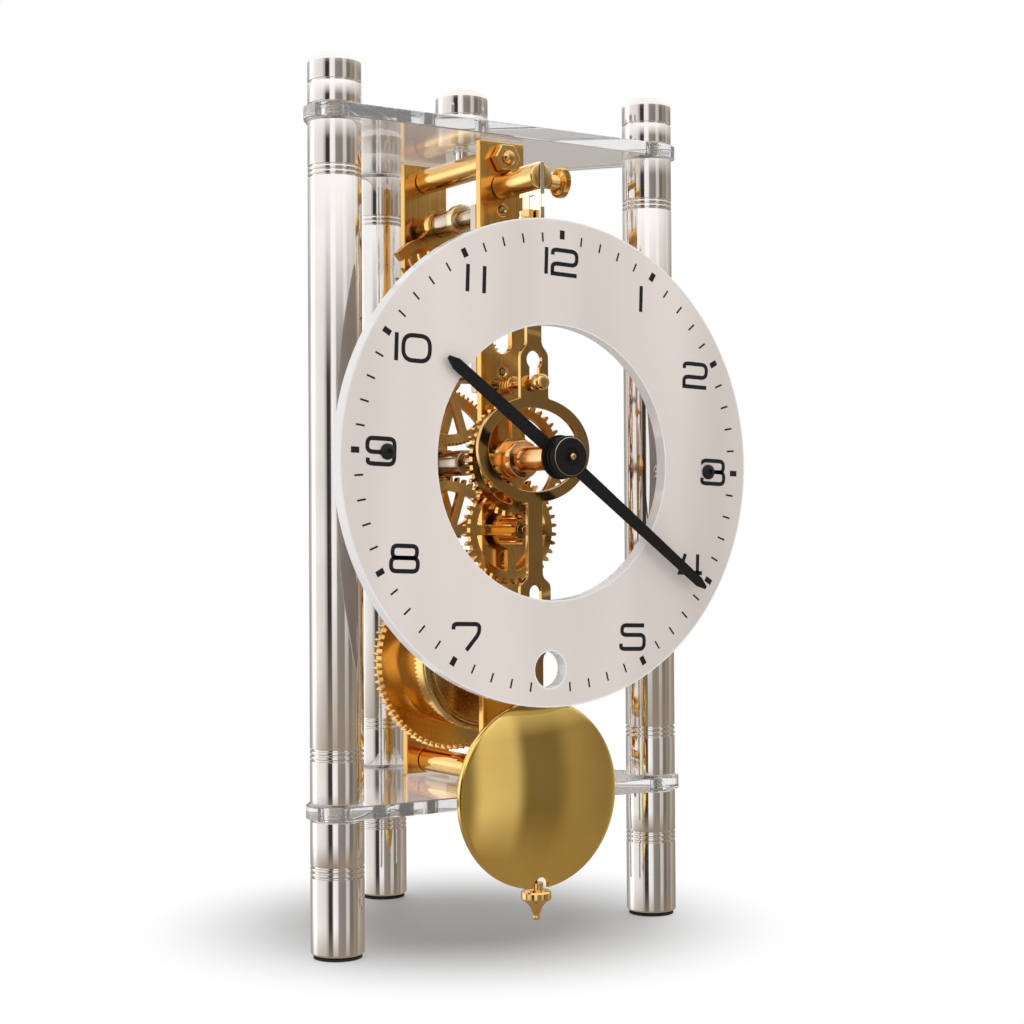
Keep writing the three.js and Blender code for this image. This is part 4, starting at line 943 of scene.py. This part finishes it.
def build_motion_work():
    distance = CENTRE_Z - STUD_Z
    front, back = span("cannon_pinion")
    pinion = leaves("cannon", "minute", distance, -5, back, DOWN)
    tube = spun([(0.85, front), (1.5, front), (1.5, -4.9), (0.85, -4.9)], 48, 0.05, True)
    shown("cannon_pinion", at(together(pinion, tube), z=CENTRE_Z), STEEL)

    radius = pitch_radius("minute", "cannon", distance)
    outline = toothed("minute", radius, UP + math.pi / TEETH["minute"], WHEEL_FLANK)
    disc = wheel(outline, 1.05, -4.7, -3.3, crossings(4, 4.6, radius - 2.6, 2.4))
    small = toothed("minute_pinion", pitch_radius("minute_pinion", "hour", distance), UP, LEAF_FLANK)
    pinion = wheel(small, 1.0, -9.6, -4.6, bevel=0.05)
    shown("minute_wheel", at(together(disc, pinion), z=STUD_Z), WHEEL_BRASS)

    front, back = span("hour_wheel")
    radius = pitch_radius("hour", "minute_pinion", distance)
    outline = toothed("hour", radius, DOWN + math.pi / TEETH["hour"], WHEEL_FLANK)
    disc = wheel(outline, 1.9, back - 1.4, back, crossings(4, 5.4, radius - 2.6, 2.6))
    shown("hour_wheel", at(disc, z=CENTRE_Z), WHEEL_BRASS)
    pipe = spun([(1.9, front), (2.7, front), (2.8, front + 0.12), (2.8, -10.2), (4.2, -10.2),
                 (4.4, -10.0), (4.4, back - 1.2), (1.9, back - 1.2)], 96, 0.08, True, z=CENTRE_Z)
    detail("hour_pipe", "hour_wheel", pipe, COPPER)


def hand(node, angle, length, root, tip, boss, bore):
    start = math.acos(root / 2 / boss)
    blade = [(tip / 2, length - 2.4), (0.35, length), (-0.35, length), (-tip / 2, length - 2.4)]
    outline = [*arc(0, 0, boss, math.pi - start, TURN + start, 72), *blade]
    mesh = flat(outline, [circle(0, 0, bore, 48)], *span(node), 0.08)
    shown(node, at(mesh, z=CENTRE_Z, tilt=angle), HAND_BLACK)


def build_hands():
    hand("hour_hand", HOUR_ANGLE, length=36, root=3.1, tip=2.7, boss=5, bore=2.85)
    hand("minute_hand", MINUTE_ANGLE, length=50, root=3.1, tip=2.3, boss=4.6, bore=1.55)
    low, high = extent("hand_nut")
    front, r = low.y, high.x
    nut = spun([(0.8, front + 0.4), (1.9, front + 0.4), (2.1, front), (r - 0.5, front),
                (r, front + 0.4), (r, high.y), (0.8, high.y)], 96, 0.06, True, z=CENTRE_Z)
    shown("hand_nut", nut, HAND_BLACK)
    edge = spun([(r - 0.47, front - 0.02), (r - 0.33, front + 0.06), (r - 0.47, front + 0.14)], 96, 0,
                True, z=CENTRE_Z)
    detail("hand_nut_edge", "hand_nut", edge, STEEL)


# ---- Escapement ------------------------------------------------------------------------------


def build_anchor():
    tip = ESCAPE_TIP
    drop = ESCAPE_Z - ANCHOR_Z
    reach, room, boss = math.pi / 4, 1.1, 3.9
    elbow = tip / math.sqrt(2) + 2.4
    outline = [
        *arc(0, drop, tip + room, UP + reach, UP - reach, 40), (elbow, drop / 2 + 2.6),
        *arc(0, drop, tip + room + 2.4, UP - 0.75 * reach, UP - 0.32, 14),
        *arc(0, 0, boss, -0.35, math.pi + 0.35, 40),
        *arc(0, drop, tip + room + 2.4, UP + 0.32, UP + 0.75 * reach, 14), (-elbow, drop / 2 + 2.6),
    ]
    anchor = flat(outline, [circle(0, 0, 3.05, 48)], *span("anchor"), 0.08)
    shown("anchor", at(anchor, z=ANCHOR_Z), WHEEL_BRASS)
    body = arbor(1.2, (2.3, 8.5, 15.5), (3.0, 18.2, 30.6))
    shown("anchor_arbor", at(body, z=ANCHOR_Z), STEEL)
    ring = spun([(1.2, 15.5), (3.5, 15.5), (3.7, 15.7), (3.7, 18.1), (3.5, 18.3), (1.2, 18.3)],
                72, 0.08, True, z=ANCHOR_Z)
    detail("friction_ring", "anchor_arbor", ring, IVORY_METAL)


def build_crutch():
    front, back = span("crutch")
    drop = CRUTCH_PIN_Z - ANCHOR_Z
    outer, inner = -5.1, -3.9
    bar = [*arc(0, 0, 2.7, -2.6, 2.6, 48), (outer, 1.39), (outer, drop - 1.3),
           *arc(0, drop, 1.6, -2.2, 2.2, 32), (inner, drop + 1.3), (inner, -1.39)]
    lever = flat(bar, [circle(0, 0, 1.35, 40)], 2.2, back, 0.1)
    shown("crutch", at(lever, z=ANCHOR_Z), STEEL)
    pin = [(0, front), (1.3, front), (1.95, front + 0.6), (1.95, front + 2.9), (0.9, front + 3.3),
           (0.9, -6.4), (0, -6.4)]
    detail("crutch_pin", "crutch", spun(pin, 64, 0.3, z=CRUTCH_PIN_Z), TURNED_BRASS)
    sleeve = [(0, -6.4), (2.0, -6.4), (2.1, -6.2)]
    for i in range(3):
        y = -5.6 + 1.2 * i
        sleeve += [(2.1, y - 0.2), (1.75, y - 0.1), (1.75, y + 0.1), (2.1, y + 0.2)]
    sleeve += [(2.1, -2.4), (0.9, -2.4), (0.9, 2.8), (0, 2.8)]
    detail("crutch_sleeve", "crutch", spun(sleeve, 56, 0.05, z=CRUTCH_PIN_Z), TURNED_BRASS)


# ---- Suspension and pendulum -----------------------------------------------------------------

POST_Z = middle("suspension_post").z
HOOK_PIN_Z = 165.2
CHEEK_HALF = 0.55
CHEEK_LOW_Z = 170.6
SLOT_END_Y = -8.8


def sideways(mesh):
    """Depth becomes width: what ran backwards now runs to the right."""
    mesh.transform(Matrix.Rotation(DOWN, 4, "Z"))
    return mesh


def build_suspension():
    front, back = span("suspension_post")
    radius = half_width("suspension_post")
    post = spun([(0, front), (radius - 0.35, front), (radius, front + 0.35), (radius, back),
                 (0, back)], 80, 0.08, z=POST_Z)
    half = CHEEK_HALF + 0.2
    slot = block(-half, half, front - 1, SLOT_END_Y, POST_Z - 5, POST_Z + 5, 0.01)
    shown("suspension_post", cut(post, slot), TURNED_BRASS)

    left, right = span("thumb_screw", "x")
    stem = lying(lathe([(0, left), (0.9, left), (1.1, left + 0.2), (1.1, 3.3), (1.7, 3.4), (1.7, 6.1),
                        (3.1, 6.15), (3.1, right), (2.4, right + 0.05), (2.2, right - 0.2),
                        (0, right - 0.2)], 56, 0.06), "X")
    knurl = [polar(3.45 - 0.22 * (i % 2), TURN * i / 112) for i in range(112)]
    rim = sideways(flat(knurl, [circle(0, 0, 2.8, 48)], 6.1, right, 0.1))
    place = middle("thumb_screw")
    shown("thumb_screw", at(together(stem, rim), y=place.y, z=place.z), TURNED_BRASS)

    low, high = extent("suspension_spring")
    upper = block(-CHEEK_HALF, CHEEK_HALF, low.y, high.y, CHEEK_LOW_Z, high.z, 0.1)
    leaf_pair = [block(-0.08, 0.08, y0, y1, low.z, CHEEK_LOW_Z + 1, 0.02)
                 for y0, y1 in ((low.y + 0.6, low.y + 3.4), (high.y - 3.4, high.y - 0.6))]
    shown("suspension_spring", together(upper, *leaf_pair), CREAM_METAL)
    low, high = extent("suspension_block")
    lower = block(-CHEEK_HALF, CHEEK_HALF, low.y, high.y, low.z, high.z, 0.1)
    pin = lying(lathe([(0, low.x), (0.45, low.x), (0.6, low.x + 0.15), (0.6, high.x - 0.15),
                       (0.45, high.x), (0, high.x)], 32, 0.04), "X")
    shown("suspension_block", together(lower, at(pin, y=PENDULUM_Y, z=HOOK_PIN_Z)), CREAM_METAL)


ROD_HALF = 2.0
ROD_THICKNESS = 1.2
RING_Z = 112.5
RING_OUTSIDE = (15.3, 12.1 / 15.3)  # half height, and its width as a share of that
RING_INSIDE = (12.5, 9.6 / 12.5)


def rod_outline():
    """Right edge going up, then its mirror coming down."""
    outer, squeeze = RING_OUTSIDE
    w = ROD_HALF
    right = [(w, 16.6), (w, 65.2), (4.15, 67.6), (4.15, 81.7), (w, 83.5)]
    right += arc(0, RING_Z, outer, DOWN + math.asin(w / outer), UP - math.asin(3.8 / outer), 72, squeeze)
    right += [(3.8, 134.4), (w, 136.6), (w, 161.6)]
    return rounded([*right, *[(-x, z) for x, z in reversed(right)]], 0.9, smallest=0.4)


def build_pendulum():
    y = PENDULUM_Y
    low, high = extent("pendulum_rod")
    inner, squeeze = RING_INSIDE
    eye, slot = 2.1, 1.35
    spread_angle = math.asin(slot / eye)
    keyhole = [*arc(0, 133, eye, DOWN + spread_angle, 1.5 * math.pi - spread_angle, 32),
               *arc(0, 126.2 + slot, slot, math.pi, TURN, 20)]
    fork = [*arc(0, 79.95, 1.65, 0, math.pi, 20), (-1.65, 70), (1.65, 70)]
    faces = (y - ROD_THICKNESS / 2, y + ROD_THICKNESS / 2)
    strip = flat(rod_outline(), [keyhole, circle(0, RING_Z, inner, 128, squeeze), fork], *faces, 0.14)
    thread = at(lathe(threaded_rod(low.z, 17.6, 0.55, 0.35), 24, 0), 0, y)
    ears = [block(x0, x1, y - 1.8, y + 1.8, 160.2, high.z, 0.2)
            for x0, x1 in ((CHEEK_HALF + 0.3, ROD_HALF), (-ROD_HALF, -CHEEK_HALF - 0.3))]
    shown("pendulum_rod", together(strip, thread, *ears), ROD_BRASS)


def build_bob():
    low, high = extent("pendulum_bob")
    radius = high.x
    front, back = low.y, high.y
    profile = [(0, front)]
    steps = 28
    for i in range(1, steps + 1):
        share = i / steps
        profile.append((radius * share * 0.985, front + 2.75 * share ** 2))
    profile += [(radius, front + 3.1), (radius, back - 2.4), (radius - 0.3, back - 2.2),
                (12, back - 0.6), (0, back)]
    lens = spun(profile, 192, 0.02, z=BOB_Z)
    half = ROD_THICKNESS / 2 + 0.3
    slot = block(-ROD_HALF - 0.3, ROD_HALF + 0.3, PENDULUM_Y - half, PENDULUM_Y + half, 0, 70, 0.01)
    notch = spun([(0, front - 2), (2.3, front - 2), (2.3, back + 2), (0, back + 2)], 48, 0,
                 z=BOB_Z - radius + 0.4)
    shown("pendulum_bob", cut(cut(lens, slot), notch), BOB_BRASS)
    z, top = span("rating_nut", "z")
    nut = lathe([(0, z), (0.6, z + 0.15), (0.9, z + 0.6), (0.7, z + 1.2), (0.95, z + 1.9),
                 (1.4, z + 3), (2.3, z + 4.1), (2.9, z + 4.5), (3.3, z + 4.7), (3.5, z + 5),
                 (3.5, z + 6.4), (3.2, z + 6.8), (1.6, z + 7), (1.6, top), (0.85, top),
                 (0.85, z + 2.4), (0, z + 2.4)], 80, 0.08)
    shown("rating_nut", at(nut, 0, PENDULUM_Y), TURNED_BRASS)


# ---- Camera, light and floor -----------------------------------------------------------------

CAMERA_PLACE = (-245.8, -379.4, 94.6)
CAMERA_HEADING = math.radians(33.277)
CAMERA_PITCH = math.radians(0.836)
CAMERA_ROLL = math.radians(-0.317)
CAMERA_LENS = 67.86
CAMERA_SHIFT = -0.0117
FLOOR_HALF = 4.0
# Painted shadow: a grey pool of floor colour under the clock, darker than the white floor around it.
SHADOW_POOL_GREY = (0.44, 0.44, 0.44, 1)
SHADOW_POOL_FADE = (0.02, 0.082)


def build_camera():
    data = bpy.data.cameras.new("camera")
    data.sensor_width = 36
    data.lens = CAMERA_LENS
    data.shift_y = CAMERA_SHIFT
    data.clip_start = 0.01
    camera = bpy.data.objects.new("camera", data)
    bpy.context.scene.collection.objects.link(camera)
    place = Vector(CAMERA_PLACE) * MM + Vector((0, FRONT_LINE, 0))
    camera.matrix_world = (Matrix.Translation(place) @ Matrix.Rotation(-CAMERA_HEADING, 4, "Z")
                           @ Matrix.Rotation(UP + CAMERA_PITCH, 4, "X")
                           @ Matrix.Rotation(CAMERA_ROLL, 4, "Z"))
    bpy.context.scene.camera = camera


def build_floor():
    """Painted shadow: the floor is grey under the clock, darker than its own white, fading to plain
    white around it.
    """
    mesh = bpy.data.meshes.new("floor")
    corners = rectangle(-FLOOR_HALF, FLOOR_HALF, -FLOOR_HALF, FLOOR_HALF)
    mesh.from_pydata([(x, y, 0) for x, y in corners], [], [(0, 1, 2, 3)])
    floor = bpy.data.objects.new("floor", mesh)
    bpy.context.scene.collection.objects.link(floor)
    material, tree, shader = new_material("floor_white")
    feed(tree, shader, {"Base Color": SHADOW_POOL_GREY, "Roughness": 0.55})
    where = put(tree, "TexCoord").outputs["Object"]
    distance = put(tree, "VectorMath", {0: where}, operation="LENGTH").outputs["Value"]
    # Mask of the painted shadow pool: grey near the middle, plain white further out.
    painted_shadow_fade = put(tree, "MapRange", {"Value": distance, "From Min": SHADOW_POOL_FADE[0],
                                  "From Max": SHADOW_POOL_FADE[1]}, interpolation_type="SMOOTHSTEP")
    glow = put(tree, "Emission", {"Strength": 1.0})
    mix = put(tree, "MixShader", {0: painted_shadow_fade.outputs["Result"], 1: shader.outputs["BSDF"],
                                  2: glow.outputs["Emission"]})
    feed(tree, tree.nodes["Material Output"], {"Surface": mix.outputs["Shader"]})
    mesh.materials.append(material)
    floor.visible_glossy = False


# Soft boxes and dark gaps around the studio: (turn from +X in degrees, brightness, warmth).
STUDIO_BANDS = [
    (0, 0.4, 1), (20, 0.34, 1), (56, 0.36, 0.6), (100, 0.45, 0.3), (116, 0.9, 0), (124, 1.7, 0),
    (136, 1.5, 0), (150, 1.0, 0),
    (188, 0.9, 0.1), (200, 0.55, 0.3), (206, 0.04, 0), (220, 0.04, 0), (225, 1.1, 0), (242, 1.0, 0),
    (247, 0.3, 0.5), (275, 0.26, 0.6), (280, 0.75, 0.2), (291, 0.65, 0.3), (297, 0.2, 1),
    (308, 0.2, 1), (316, 0.34, 1), (332, 0.28, 1), (342, 0.55, 0.8), (360, 0.4, 1),
]
OVERHEAD = (1.2, 1.2, 1.2, 1)
GROUND = (0.34, 0.28, 0.21, 1)


def build_world():
    """Plain white light; only reflections see the studio's bands."""
    world = bpy.data.worlds.new("studio")
    bpy.context.scene.world = world
    world.use_nodes = True
    tree = world.node_tree
    tree.nodes.clear()
    parts = put(tree, "SeparateXYZ", {0: put(tree, "TexCoord").outputs["Generated"]}).outputs
    angle = put(tree, "Math", {0: parts["Y"], 1: parts["X"]}, operation="ARCTAN2").outputs[0]
    turns = put(tree, "Math", {0: angle, 1: TURN}, operation="DIVIDE").outputs[0]
    ramp = put(tree, "ValToRGB", {"Fac": put(tree, "Math", {0: turns}, operation="FRACT").outputs[0]})
    ramp.color_ramp.interpolation = "EASE"
    stops = ramp.color_ramp.elements
    for degrees, bright, warmth in STUDIO_BANDS:
        place = degrees / 360
        if place in (0, 1):
            stop = stops[0] if place == 0 else stops[-1]
        else:
            stop = stops.new(place)
        stop.position = place
        stop.color = (bright, bright * (1 - 0.13 * warmth), bright * (1 - 0.28 * warmth), 1)
    colour = ramp.outputs["Color"]
    for start, end, other in ((0.17, 0.45, OVERHEAD), (-0.2, -0.45, GROUND)):
        share = put(tree, "MapRange", {"Value": parts["Z"], "From Min": start, "From Max": end})
        colour = blend_colours(tree, share.outputs["Result"], colour, other)
    studio = put(tree, "Background", {"Color": colour})
    pale = put(tree, "Background", {"Color": (1, 1, 1, 1)})
    glossy = put(tree, "LightPath").outputs["Is Glossy Ray"]
    mix = put(tree, "MixShader", {0: glossy, 1: pale.outputs[0], 2: studio.outputs[0]})
    put(tree, "OutputWorld", {"Surface": mix.outputs[0]})


build_camera()
build_floor()
build_world()
build_columns()
build_plates()
build_movement_plates()
build_pillars()
build_dial()
build_dial_fixings()
build_barrel()
build_mainspring()
build_winding()
build_train()
build_centre_arbor()
build_motion_work()
build_hands()
build_anchor()
build_crutch()
build_suspension()
build_pendulum()
build_bob()

bpy.context.scene.view_settings.view_transform = "Standard"
